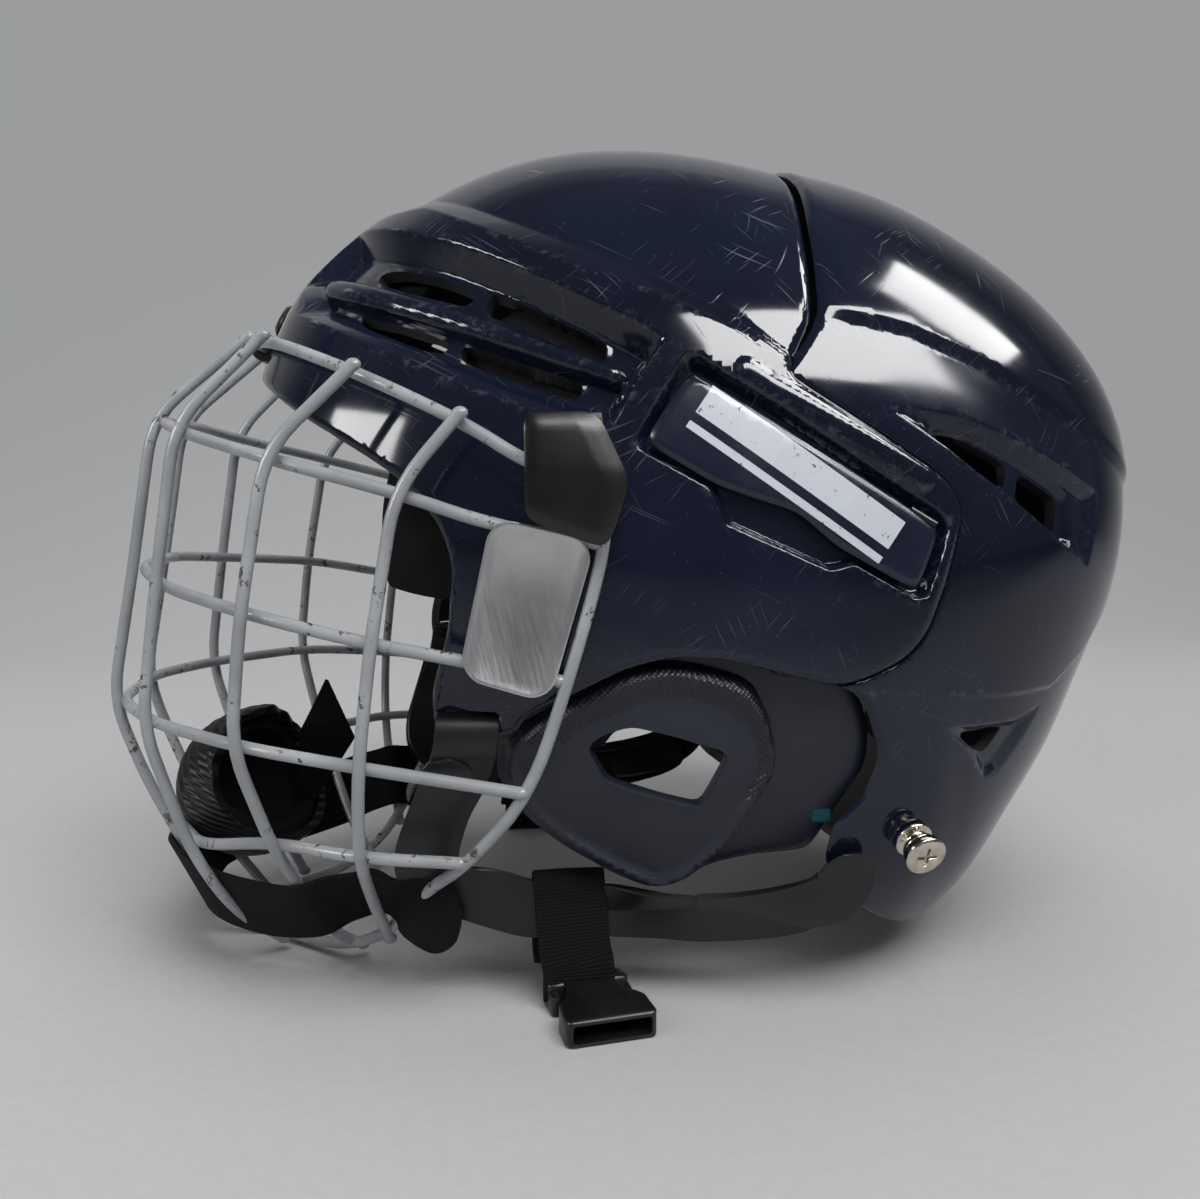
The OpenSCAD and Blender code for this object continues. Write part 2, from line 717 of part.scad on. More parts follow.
// Ear guards
guard_outline = [
    [-42.6, 78], [-43.2, 70], [-44, 63], [-38, 53], [-24, 44], [-9, 35.5], [-3, 34.5], [5, 40],
    [12, 42], [31, 41],
    [50, 66], [44, 86], [8, 96], [-6, 97], [-20, 95.5], [-32, 91], [-39, 88],
];
guard_ring = [
    [-43, 70], [-40.4, 70.2], [-37.8, 75.2], [-28.2, 80.3], [-15.6, 87.2], [-4.8, 90], [7, 89.5],
    [14, 86.5], [17.8, 74], [17.8, 65], [10, 52.5], [-3.5, 37], [-9, 37], [-24, 46], [-37, 55],
    [-43, 64],
];
guard_window = [
    [-24, 70], [-21, 74], [-13, 75.4], [8, 69.8], [9, 66.2], [2.4, 56.4], [-1.6, 56], [-9, 58.8],
    [-19, 62.6],
];
guard_seat = -rear_wall - 1.8;
guard_screws = [[-34.5, 85], [7, 92.6]];
// Children one long are stretched between two offsets of the dome at a point of the side view
module guard_boss(p, d_out, d_in) {
    y0 = dome_y(p[0], p[1], d_out);
    y1 = dome_y(p[0], p[1], d_in);
    translate([p[0], -y1, p[1]]) rotate([90, 0, 0]) scale([1, 1, y0 - y1]) children();
}
module guard_plate(gap) {
    side_slab([-46, 32], [52, 99], [8, 6], guard_seat + gap, guard_seat - guard_thick - 2 * gap);
}
module ear_guard(left) {
    color("#1c2440")
    on_side(left) difference() {
        union() {
            intersection() {
                guard_plate(0);
                from_side(-reach, -20) outline(guard_outline);
            }
            intersection() {
                side_slab([-46, 32], [22, 92], [7, 6], guard_seat + guard_ridge, guard_seat - 1);
                from_side(-reach, -20) outline(guard_ring);
            }
        }
        intersection() {
            side_slab([-40, 38], [16, 86], [6, 5], 6, guard_seat - 1.4);
            from_side(-reach, -20) offset(delta = 4) outline(guard_window);
        }
        from_side(-reach, -20) outline(guard_window);
        for (p = guard_screws)
            translate([p[0], -70, p[1]]) rotate([90, 0, 0]) cylinder(h = 40, r = 1.5, $fn = fine);
    }
}
module ear_guard_screws() {
    color("#77797d")
    both_sides() for (p = guard_screws)
        translate([p[0], -dome_y(p[0], p[1], guard_seat - guard_thick - 1), p[1]]) rotate([90, 0, 0]) {
            translate([0, 0, -1.4]) cylinder(h = 1.4, r = 3, $fn = fine);
            cylinder(h = guard_thick + 2.4, r = 1.2, $fn = fine);
        }
}

// Flat straps: each point has its place and the direction of its width
module ribbon(path, w, t) {
    n = len(path);
    points = [for (i = [0:n - 1])
        let (
            tangent = unit(path[min(i + 1, n - 1)][0] - path[max(i - 1, 0)][0]),
            wide = unit(path[i][1] - tangent * (path[i][1] * tangent)),
            out = cross(tangent, wide)
        )
        for (c = [[-1, -1], [1, -1], [1, 1], [-1, 1]])
            path[i][0] + wide * c[0] * w / 2 + out * c[1] * t / 2];
    faces = concat(
        [[0, 1, 2, 3]],
        [for (i = [0:n - 2]) for (s = [0:3]) let (a = i * 4 + s, b = i * 4 + (s + 1) % 4)
            each [[a, a + 4, b], [b, a + 4, b + 4]]],
        [[(n - 1) * 4 + 3, (n - 1) * 4 + 2, (n - 1) * 4 + 1, (n - 1) * 4]]
    );
    polyhedron(points, faces);
}

front_strap_path = [
    [[-51, -73.6, 76.6], [1, 0, 0]], [[-51, -82, 76.2], [1, 0, 0]], [[-51.6, -83.1, 70], [1, 0, 0]],
    [[-54, -80, 61], [1, 0, 0.1]], [[-58.5, -74.5, 50], [1, 0, 0.1]],
    [[-60.5, -69, 38], [1, -0.2, 0.3]],
    [[-54, -66.5, 29], [0.7, -0.3, 0.8]], [[-44, -66.5, 25.5], [0.3, 0, 1]],
    [[-34, -68, 23.5], [0, 0, 1]],
    [[-17, -69, 21], [0, 0, 1]], [[2, -71, 18.5], [0, -0.5, 1]], [[7, -72.2, 18.3], [0, -0.6, 1]],
];
rear_strap_path = [
    [[9.8, -73.1, 18.5], [0, -0.6, 1]], [[16, -76, 20], [0, -0.5, 1]],
    [[27, -81.4, 25], [-0.3, -0.3, 1]],
    [[36, -86, 32], [-0.6, -0.2, 0.8]], [[41, -88.6, 40], [-0.9, -0.1, 0.4]],
];
module front_strap(left) {
    color("#0e0e10")
    on_side(left) ribbon(front_strap_path, vinyl_width, vinyl_thick);
}
module rear_strap(left) {
    color("#0e0e10")
    on_side(left) ribbon(rear_strap_path, vinyl_width, vinyl_thick);
}
buckle_web_path = [
    [[-26, -71.2, 11.6], [1, 0, 0]], [[-26, -66.6, 13], [1, 0, 0]], [[-26, -65.8, 17], [1, 0, 0]],
    [[-26, -65.8, 30], [1, 0, 0]], [[-26, -68.4, 33.4], [1, 0, 0]], [[-26, -71, 30], [1, 0, 0]],
    [[-25, -72.8, 16], [1, 0, 0]], [[-24, -73.5, 10], [1, 0, 0]], [[-24, -73.5, 2], [1, 0, 0]],
];
module buckle_web(left) {
    color("#0a0a0b")
    on_side(left) ribbon(buckle_web_path, web_width, web_thick);
}

// The two halves of the side-release buckle, each on its webbing, on the floor.
// Both are drawn with the tail at y = 0 and the mouth or the prongs towards -Y.
socket_width = 24;
socket_height = 10.5;
socket_wall = 2;
prong_root_r = 1.3;
prong_x = 7.6;
module at_buckle() {
    translate([-21, -74.5, 0]) rotate([0, 0, 2]) children();
}
module buckle_socket() {
    color("#08090b")
    at_buckle() difference() {
        union() {
            translate([-socket_width / 2, -26, 0]) cube([socket_width, 16, socket_height]);
            translate([-socket_width / 2 + 2.5, -10.5, 0.4])
                cube([socket_width - 5, 7, socket_height - 3]);
            translate([-socket_width / 2 + 1, -4, 0.4]) cube([socket_width - 2, 4, 6]);
        }
        translate([-socket_width / 2 + socket_wall, -30, socket_wall])
            cube([socket_width - 2 * socket_wall, 24, socket_height - 2 * socket_wall]);
        translate([-socket_width / 2 - 1, -14, socket_wall])
            cube([socket_width + 2, 5, socket_height - 2 * socket_wall]);
    }
}
module buckle_plug() {
    color("#08090b")
    mirror([0, 1, 0]) at_buckle() {
        translate([-12, -6, 0]) cube([24, 6, 8]);
        translate([-10, -9, 1]) cube([20, 3.2, 6.5]);
        translate([-1.4, -22, 2.6]) cube([2.8, 13.2, 3.2]);
    }
}
module plug_prong(front) {
    color("#08090b")
    mirror([0, 1, 0]) at_buckle() mirror([front ? 0 : 1, 0, 0])
        translate([-prong_x, -9 - prong_root_r - 0.3, socket_wall + 0.4]) linear_extrude(4.6) union() {
            circle(prong_root_r, $fn = 24);
            polygon([
                [-prong_root_r, 0], [-1.9, -6], [-3.6, -8.4], [-3.2, -12.4], [-1.2, -15.5],
                [0, -14.8], [0.2, -7], [prong_root_r, 0],
            ]);
        }
}

// Chin cup and the webbing that holds it in the cage
module cup_shape(grow) {
    translate([-110, 0, 42]) rotate([0, 24, 0])
        resize([43 + grow, 56 + grow, 44 + grow]) sphere(20, $fn = 22);
}
module cup_inside(grow) {
    translate([-102.5, 0, 48.5]) rotate([0, 24, 0])
        resize([46 + grow, 49 + grow, 41 + grow]) sphere(20, $fn = 20);
}
module chin_cup() {
    color("#17181a")
    difference() {
        cup_shape(0);
        cup_inside(0);
    }
}
module chin_cup_pad() {
    color("#1d1e21")
    difference() {
        cup_inside(-0.6);
        translate([4, 0, 2.6]) cup_inside(-4);
        translate([-106.2, 0, 45.2]) rotate([0, -41, 0]) translate([1.5, -40, -40]) cube(80);
    }
}
cage_web_path = [
    [[-78, -79, 33], [0.2, -0.5, 1]], [[-90, -68, 28], [0.3, -0.6, 1]],
    [[-104, -52, 24.5], [0.5, -0.2, 1]],
    [[-114, -33, 25], [0.5, 0, 1]], [[-119.6, -16, 25], [0.5, 0, 1]], [[-125, 0, 24.6], [0.5, 0, 1]],
    [[-130, 12, 24.4], [0.45, 0, 1]], [[-130.4, 19, 24.4], [0.45, 0.1, 1]],
    [[-125.6, 24, 24.6], [0.5, 0.1, 1]],
    [[-116, 33, 25], [0.5, 0, 1]], [[-104, 52, 24.5], [0.5, 0.2, 1]], [[-90, 68, 28], [0.3, 0.6, 1]],
    [[-78, 79, 33], [0.2, 0.5, 1]],
];
module cage_webbing() {
    color("#0b0b0c") ribbon(cage_web_path, cage_web_width, web_thick);
}
module webbing_flap() {
    color("#0b0b0c")
    translate([-91, 8, 54]) rotate([90, 0, 8]) linear_extrude(web_thick)
        polygon([[-8, 0], [-9, -17.8], [-4, -20.3], [8, -2], [0, 17]]);
}

// Foam pads inside the shells: each is a crowned block over a range of angles round the head
module pad(a0, a1, s0, s1, cells, d = 0) {
    na = cells[0];
    ns = cells[1];
    top = -wall - pad_gap - d;
    outer = [for (j = [0:ns]) for (i = [0:na]) grown(dome(a0 + (a1 - a0) * i / na,
        s0 + (s1 - s0) * j / ns), top)];
    inner = [for (j = [0:ns]) for (i = [0:na])
        let (
            edge = (i == 0 || i == na || j == 0 || j == ns) ? 0.45 : 1,
            u = 0.04 + 0.92 * i / na,
            v = 0.04 + 0.92 * j / ns
        )
        grown(dome(a0 + (a1 - a0) * u, s0 + (s1 - s0) * v), top - pad_thick * edge)];
    layer = (na + 1) * (ns + 1);
    skin = [for (j = [0:ns - 1]) for (i = [0:na - 1]) let (a = j * (na + 1) + i)
        each [[a, a + 1, a + na + 1], [a + 1, a + na + 2, a + na + 1]]];
    rim = concat(
        [for (i = [0:na]) i],
        [for (j = [1:ns]) j * (na + 1) + na],
        [for (i = [na - 1:-1:0]) ns * (na + 1) + i],
        [for (j = [ns - 1:-1:1]) j * (na + 1)]
    );
    polyhedron(concat(outer, inner), concat(
        skin,
        [for (f = skin) [for (k = [2, 1, 0]) f[k] + layer]],
        [for (k = [0:len(rim) - 1]) let (a = rim[k], b = rim[(k + 1) % len(rim)])
            each [[a, a + layer, b], [b, a + layer, b + layer]]]
    ));
}
module front_pad() {
    color("#1e2024") pad(138, 157, -30, 30, [4, 8], recess_depth + 1.7);
}
module crown_pad() {
    color("#1e2024") pad(103, 130, -22, 22, [5, 6], 2);
}
module side_pad(left) {
    color("#1e2024") on_side(left) pad(128, 178, -66, -44, [7, 4], recess_depth + 0.4);
}
module rear_pad() {
    color("#1e2024") pad(-8, 55, -28, 28, [7, 6], rear_wall - wall + 1.5);
}
module neck_pad() {
    color("#1f6f7c") pad(-46, -16, -30, 30, [4, 6], rear_wall - wall + 1);
}

place() front_shell();
place() rear_shell();
place() latch(true);  // latch_left
place() latch(false);  // latch_right
place() latch_pins();
place() forehead_clip();
place() forehead_screw();
place() flap_base(true);  // flap_base_left
place() flap_base(false);  // flap_base_right
place() side_flap(true);  // side_flap_left
place() side_flap(false);  // side_flap_right
place() flap_pins();
place() flap_base_screws();
place() cage_frame();
place() upright(bar_inner, true);  // bar_inner_left
place() upright(bar_inner, false);  // bar_inner_right
place() upright(bar_mid, true);  // bar_mid_left
place() upright(bar_mid, false);  // bar_mid_right
place() upright(bar_outer, true);  // bar_outer_left
place() upright(bar_outer, false);  // bar_outer_right
place() upright(bar_side, true);  // bar_side_left
place() upright(bar_side, false);  // bar_side_right
place() cross_bar(cross_eye);  // cross_bar_eye
place() cross_bar(cross_nose);  // cross_bar_nose
place() cross_bar(cross_mouth);  // cross_bar_mouth
place() cross_bar(cross_chin);  // cross_bar_chin
place() cage_plate(true);  // cage_plate_left
place() cage_plate(false);  // cage_plate_right
place() chin_cup();
place() chin_cup_pad();
place() cage_webbing();
place() webbing_flap();
place() ear_guard(true);  // ear_guard_left
place() ear_guard(false);  // ear_guard_right
place() ear_guard_screws();
place() front_strap(true);  // front_strap_left
place() front_strap(false);  // front_strap_right
place() rear_strap(true);  // rear_strap_left
place() rear_strap(false);  // rear_strap_right
place() buckle_web(true);  // buckle_web_left
place() buckle_web(false);  // buckle_web_right
place() buckle_socket();
place() buckle_plug();
place() plug_prong(true);  // plug_prong_front
place() plug_prong(false);  // plug_prong_rear
place() snap_post(true);  // snap_post_left
place() snap_post(false);  // snap_post_right
place() snap_post_nuts();
place() front_pad();
place() crown_pad();
place() side_pad(true);  // side_pad_left
place() side_pad(false);  // side_pad_right
place() rear_pad();
place() neck_pad();
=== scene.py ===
"""Ice hockey helmet with a wire face cage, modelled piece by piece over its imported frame.

The two moulded shells start as a cube that is cut small, pushed out to the dome and stepped along
side view outlines. The wires are round curves, the straps are ribbons, and the pads are crowned blocks.
All sizes are millimetres, measured from the middle of the shell's floor; mesh data is in metres.
"""
import json
import math

import bmesh
import bpy
import numpy as np
from mathutils import Matrix, Vector

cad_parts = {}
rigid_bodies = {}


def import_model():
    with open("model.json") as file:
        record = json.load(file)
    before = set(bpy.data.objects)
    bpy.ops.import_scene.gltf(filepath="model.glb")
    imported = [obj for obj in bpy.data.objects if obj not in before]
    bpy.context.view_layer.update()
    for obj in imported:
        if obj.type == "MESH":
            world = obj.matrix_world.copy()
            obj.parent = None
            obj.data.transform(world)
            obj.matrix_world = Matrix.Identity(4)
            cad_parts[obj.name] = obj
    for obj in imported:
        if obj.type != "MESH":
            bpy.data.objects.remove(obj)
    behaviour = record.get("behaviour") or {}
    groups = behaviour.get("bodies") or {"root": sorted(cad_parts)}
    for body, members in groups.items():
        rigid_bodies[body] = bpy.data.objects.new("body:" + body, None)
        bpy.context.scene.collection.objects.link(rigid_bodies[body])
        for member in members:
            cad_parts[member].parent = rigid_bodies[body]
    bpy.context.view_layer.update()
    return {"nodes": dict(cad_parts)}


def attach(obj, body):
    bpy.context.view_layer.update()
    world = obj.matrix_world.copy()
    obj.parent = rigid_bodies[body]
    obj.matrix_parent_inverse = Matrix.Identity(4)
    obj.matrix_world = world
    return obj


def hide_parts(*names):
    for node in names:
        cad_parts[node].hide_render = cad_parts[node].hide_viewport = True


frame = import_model()

bl_info = {
    "name": "Hockey Helmet with Cage",
    "version": (1, 0, 0),
    "blender": (4, 5, 0),
    "location": "View3D > Sidebar > Helmet",
    "description": "Builds a two-piece hockey helmet with its wire cage, straps and liner",
    "category": "Add Mesh",
}

MM = 0.001
ORIGIN_SHIFT = 3.0
CENTRE = np.array([35.0, 0.0, 100.0])
PROFILE_STEP = 15.0
PROFILE = [
    101.8, 108.8, 113.2, 112.7, 111.8, 113.5, 116.5, 125.5, 136, 143.5, 150, 152,
    146, 142, 138, 130, 122, 116, 114, 113, 108, 99, 96, 96,
]
SQUARENESS = 2.4
GUARD_SEAT = -6.0
VENT_WALL = 5.0
# Rims roll in by RIM_ROLL over RIM_REACH, and the corners of the vents are rounded by SLOT_ROUND
RIM_ROLL = 1.3
RIM_REACH = 2.2
SLOT_ROUND = 2.2
# The latch recess loses this share of its wall, so that the rear shell's rebate has room under the wing
LATCH_THIN = 0.75
REBATE = -4.4
# Edges sharper than this, in degrees, are rounded
STEP_ANGLE = 50

# Side view outlines of the shells, x and z
BROW_RIM = [(-120, 168), (-104, 157), (-92, 148), (-74, 137), (-66, 131.5), (-58, 122)]
TEMPLE = [(-55, 113), (-56, 97), (-60, 82), (-60, 74), (-57, 71.5), (-41, 71.5)]
EAR_TOP = [(-39, 76), (-29, 81.5), (-16, 88.5), (-5, 91.5), (7, 91), (34, 84)]
WING_EDGE = [
    (41, 86), (50, 90), (55.4, 96), (59.8, 108.2), (62.6, 118.8), (63.8, 124.6), (60.6, 131), (52.4, 136.4),
    (36.1, 146.8), (22, 155.6),
]
CROWN_SEAM = [(30, 170), (32, 193), (35, 208), (36, 240)]
EAR_REAR = [(34, 84), (41, 80), (46, 66), (43, 56), (36, 48), (35, 39), (42, 26)]
NAPE_RIM = [(54, 17.5), (72, 7.5), (84, 0.4), (175, 0.4)]
VENT_RECESS = [
    (-86, 196), (-76.8, 195.5), (-70.4, 193.3), (-61.7, 190.4), (-52, 186.7), (-44.2, 183.1), (-32.5, 177.2),
    (-22, 171.6), (-11.5, 166.1), (-4.4, 161.6), (-18.3, 142.4), (-33.6, 146.4), (-46.3, 150.9), (-60.4, 157.2),
    (-77.5, 165.6), (-90, 172.4),
]
VENT_SLOTS = [
    [(-74, 182.4), (-72, 185), (-66, 184.6), (-58, 182), (-49, 177.6), (-51, 173.6), (-61, 176.6), (-69, 179.6)],
    [(-46, 177), (-43, 176.4), (-35, 172.4), (-27, 168.2), (-19, 164), (-19.6, 160.8), (-22, 159.6), (-28, 162.6),
     (-37, 167), (-48, 172)],
    [(-78, 172.6), (-70, 170.6), (-61, 167.4), (-55.6, 165), (-57.4, 161.8), (-64, 164), (-71, 167), (-76.6, 169.6)],
    [(-53, 164.4), (-43, 161), (-33, 157.6), (-25, 154.6), (-26, 151.6), (-28.4, 151), (-37, 154), (-46, 157.2),
     (-54, 160.6)],
]
LATCH_RECESS = [
    (-0.5, 158.3), (1.8, 158.1), (20.1, 147.5), (41.3, 133.6), (58.2, 123.3), (59.8, 120.6), (57.8, 113.3),
    (54.6, 104.6), (51.2, 104.2), (36.8, 112.2), (30.8, 111), (7.4, 121.4), (5.4, 125.9), (3.4, 129.6),
    (-12, 138.3), (-12.6, 141.3), (-7, 149),
]
LATCH_PLATE = [
    (-0.8, 154.8), (2.3, 154.6), (6.8, 151.8), (19.6, 143.9), (35.5, 134.1), (46.4, 127.3), (56.3, 121), (57.2, 119.2),
    (54.8, 112.6), (53, 107.9), (51.5, 106.8), (48.1, 107.9), (32.6, 116.5), (23.5, 124.4), (14, 127.3), (4.7, 130.6),
    (-9.5, 139.2), (-10.2, 141.3), (-6.2, 147.9),
]
REAR_VENT = [
    (47, 148), (51, 148.4), (65.4, 146.7), (81.5, 140.8), (94.6, 134.7), (103.3, 129.9), (106.6, 128.4), (107, 121.3),
    (105.8, 115.3), (104, 109.6), (97.1, 114.4), (77.3, 127.8), (57.1, 141.2),
]
REAR_STEP = [
    (55.6, 143.7), (59.5, 144.8), (70.2, 143.2), (81.1, 137.8), (94.2, 131), (98.4, 127.7), (99, 116.3), (96, 114.6),
    (78.4, 126.8), (66, 135.4),
]
REAR_SLOTS = [
    [(59.4, 143.4), (62.8, 143.3), (69.9, 141.3), (80.4, 135.9), (79, 129.8), (67.3, 136.8)],
    [(83.6, 134), (90.8, 130.2), (96.3, 127), (95.4, 118.9), (93.8, 118.7), (82.2, 127.2)],
]
LOW_VENT = [(63.2, 72.2), (86.2, 71.6), (94.6, 74.4), (91.3, 68.3), (82.3, 57), (77.6, 56.4), (73.5, 61.7)]
LOW_SLOT = [(67.3, 69.2), (74.5, 69.5), (83.4, 69.3), (78, 62.6), (74.5, 63.8)]


def linear(code):
    """Turns an sRGB hex colour into the linear colour that a shader takes."""
    parts = [int(code[i:i + 2], 16) / 255 for i in (1, 3, 5)]
    return tuple(c / 12.92 if c <= 0.04045 else ((c + 0.055) / 1.055) ** 2.4 for c in parts) + (1.0,)


def smooth_step(low, high, value):
    t = np.clip((value - low) / (high - low), 0, 1)
    return t * t * (3 - 2 * t)


def profile_table():
    """The dome's radius at every half degree round its middle plane, smoothed over a few degrees."""
    radii = np.array(PROFILE)
    t = np.arange(0, 360, 0.5) / PROFILE_STEP
    i = np.floor(t).astype(int)
    u = t - i
    p0, p1, p2, p3 = (radii[(i + k) % len(radii)] for k in (-1, 0, 1, 2))
    table = 0.5 * (2 * p1 + (p2 - p0) * u + (2 * p0 - 5 * p1 + 4 * p2 - p3) * u ** 2
                   + (3 * p1 - p0 - 3 * p2 + p3) * u ** 3)
    window = np.hanning(33)[1:-1]
    return np.convolve(np.tile(table, 3), window / window.sum(), "same")[720:1440]


RADII = profile_table()


def dome_radius(degrees):
    return np.interp(np.mod(degrees, 360), np.arange(0, 360.5, 0.5), np.append(RADII, RADII[0]))


def half_width():
    return bpy.context.scene.helmet_shell.width / MM / 2


def dome_from(direction):
    """Points of the dome on rays from its centre, one for each direction."""
    flat = np.hypot(direction[:, 0], direction[:, 2])
    radius = dome_radius(np.degrees(np.arctan2(direction[:, 2], direction[:, 0])))
    share = (flat / radius) ** SQUARENESS + (np.abs(direction[:, 1]) / half_width()) ** SQUARENESS
    return CENTRE + direction * (share ** (-1 / SQUARENESS))[:, None]


def raised_off(points, height):
    """Moves points of the dome out from its centre, or in where the height is negative."""
    ray = points - CENTRE
    return points + ray / np.linalg.norm(ray, axis=1)[:, None] * height[:, None]


def side_y(x, z, height=0.0):
    """How far to the side the dome reaches at a point of the side view."""
    dx, dz = x - CENTRE[0], z - CENTRE[2]
    share = np.hypot(dx, dz) / (dome_radius(np.degrees(np.arctan2(dz, dx))) + height)
    share = np.minimum(0.985, share)
    return (half_width() + height) * (1 - share ** SQUARENESS) ** (1 / SQUARENESS)


def rounded(path, reach, cuts, closed=False):
    """Rounds the bends of a polyline, each over a reach along both of its legs."""
    path = [np.array(p, float) for p in path]
    count = len(path)
    out = [] if closed else [path[0]]
    for i in range(count) if closed else range(1, count - 1):
        before, here, after = path[i - 1], path[i], path[(i + 1) % count]
        back, ahead = before - here, after - here
        a = here + back * min(0.46, reach / np.linalg.norm(back))
        b = here + ahead * min(0.46, reach / np.linalg.norm(ahead))
        for k in range(cuts + 1):
            t = k / cuts
            out.append((1 - t) ** 2 * a + 2 * t * (1 - t) * here + t * t * b)
    if not closed:
        out.append(path[-1])
    return np.array(out)


def inside_by(x, z, outline):
    """How far inside a side view outline each point lies, negative outside it."""
    corners = np.asarray(outline, float)
    nearest = np.full(x.shape, 1e9)
    inside = np.zeros(x.shape, bool)
    for (ax, az), (bx, bz) in zip(corners, np.roll(corners, -1, 0)):
        ex, ez = bx - ax, bz - az
        t = np.clip(((x - ax) * ex + (z - az) * ez) / (ex * ex + ez * ez), 0, 1)
        nearest = np.minimum(nearest, np.hypot(x - ax - t * ex, z - az - t * ez))
        if az != bz:
            inside ^= ((az > z) != (bz > z)) & (x < ex * (z - az) / ez + ax)
    return np.where(inside, nearest, -nearest)


def within(outline, less=0.0):
    """A line for cut_along: how far inside a side view outline a point lies, less a margin."""
    return lambda p: inside_by(p[:, 0], p[:, 2], outline) - less


def soft_ramp(value, width, turn=0.45):
    """Rises from 0 to 1 over a width, with both of its corners rounded."""
    r = turn / width

    def bend(t):
        return np.where(t > r, t, np.maximum(0, t + r) ** 2 / (4 * r))
    return bend(value / width) - bend(value / width - 1)


def beside(line, *offsets):
    """The same line moved to either side, so that a crease gets a rounded edge of its own faces."""
    return [lambda p, offset=offset: line(p) - offset for offset in offsets]


def near_line(x, z, a, b, r_a, r_b):
    """How far inside a capsule from a to b each point of the side view lies."""
    ex, ez = b[0] - a[0], b[1] - a[1]
    t = np.clip(((x - a[0]) * ex + (z - a[1]) * ez) / (ex * ex + ez * ez), 0, 1)
    return r_a + (r_b - r_a) * t - np.hypot(x - a[0] - t * ex, z - a[1] - t * ez)


def raw_points(piece):
    """A mesh's points as Blender holds them."""
    flat = np.empty(len(piece.data.vertices) * 3)
    piece.data.vertices.foreach_get("co", flat)
    return flat.reshape(-1, 3)


def positions(piece):
    """A mesh's points in millimetres about the shell's middle."""
    return raw_points(piece) / MM - (ORIGIN_SHIFT, 0, 0)


def set_positions(piece, points):
    piece.data.vertices.foreach_set("co", ((points + (ORIGIN_SHIFT, 0, 0)) * MM).ravel())
    piece.data.update()


def set_uv(piece, by_point):
    """Sets the texture place of every corner from the two values of its point."""
    loops = np.empty(len(piece.data.loops), int)
    piece.data.loops.foreach_get("vertex_index", loops)
    piece.data.uv_layers.active.data.foreach_set("uv", by_point[loops].ravel())


def set_value(piece, name, by_point):
    """Stores one value for every point under a name that the materials read."""
    piece.data.attributes.new(name, "FLOAT", "POINT").data.foreach_set("value", by_point)


def place(point):
    return Vector(((point[0] + ORIGIN_SHIFT) * MM, point[1] * MM, point[2] * MM))


def start_fresh():
    """Leaves edit mode and deselects everything, as every operator acts on what is selected."""
    if bpy.context.object and bpy.context.object.mode != "OBJECT":
        bpy.ops.object.mode_set(mode="OBJECT")
    bpy.ops.object.select_all(action="DESELECT")


def only(piece):
    """Selects one piece and makes it the active one."""
    start_fresh()
    piece.select_set(True)
    bpy.context.view_layer.objects.active = piece
    return piece


def modify(piece, kind, **settings):
    """Adds a modifier, sets it and applies it."""
    only(piece)
    modifier = piece.modifiers.new(kind.title(), kind)
    for key, value in settings.items():
        setattr(modifier, key, value)
    bpy.ops.object.modifier_apply(modifier=modifier.name)
    return piece


def settle(piece):
    """Applies a piece's place, turn and size to its mesh."""
    only(piece)
    bpy.ops.object.transform_apply(location=True, rotation=True, scale=True)
    return piece


def cut_along(piece, keep, remove=True, snap=0.12):
    """Cuts a piece along the line where keep turns negative, and deletes what lies beyond if it is told to."""
    mesh = bmesh.new()
    mesh.from_mesh(piece.data)
    value = keep(positions(piece))
    level = mesh.verts.layers.float.new("keep")
    value[np.abs(value) < snap] = 0
    for vert, amount in zip(mesh.verts, value):
        vert[level] = amount
    for edge in list(mesh.edges):
        a, b = edge.verts
        if a[level] * b[level] < 0:
            _, new = bmesh.utils.edge_split(edge, a, a[level] / (a[level] - b[level]))
            new[level] = 0
    for face in list(mesh.faces):
        levels = [v[level] for v in face.verts]
        if min(levels) < 0 < max(levels):
            crossing = [v for v in face.verts if v[level] == 0]
            if len(crossing) == 2:
                bmesh.utils.face_split(face, crossing[0], crossing[1])
    if remove:
        beyond = [f for f in mesh.faces
                  if sum(v[level] for v in f.verts) < 0 or max(v[level] for v in f.verts) <= 0]
        bmesh.ops.delete(mesh, geom=beyond, context="FACES")
    mesh.verts.layers.float.remove(level)
    mesh.to_mesh(piece.data)
    mesh.free()
    piece.data.update()
    return piece


def keep_faces(piece, wanted):
    """Deletes the points of a piece for which wanted is false."""
    only(piece)
    flags = ~wanted(positions(piece))
    bpy.ops.object.mode_set(mode="EDIT")
    bpy.ops.mesh.select_mode(type="VERT")
    bpy.ops.mesh.select_all(action="DESELECT")
    bpy.ops.object.mode_set(mode="OBJECT")
    piece.data.vertices.foreach_set("select", flags)
    bpy.ops.object.mode_set(mode="EDIT")
    bpy.ops.mesh.delete(type="VERT")
    bpy.ops.object.mode_set(mode="OBJECT")


def shade(piece, degrees=40):
    only(piece)
    bpy.ops.object.shade_smooth_by_angle(angle=math.radians(degrees))
    return piece


def finish_piece(piece, name, body, material, nodes=(), degrees=40):
    """Names a piece, shades it, gives it its finish and ties it to its body and its frame nodes."""
    shade(piece, degrees)
    piece.name = name
    piece.data.name = name
    if material:
        piece.data.materials.clear()
        piece.data.materials.append(material)
    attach(piece, body)
    if nodes:
        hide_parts(*nodes)
    return piece


def mirrored_copy(piece, name):
    """A copy of a piece on the other side, with its own mesh."""
    other = piece.copy()
    other.data = piece.data.copy()
    other.name = name
    bpy.context.collection.objects.link(other)
    other.data.transform(Matrix.Scale(-1, 4, (0, 1, 0)))
    other.data.flip_normals()
    other.data.update()
    return other


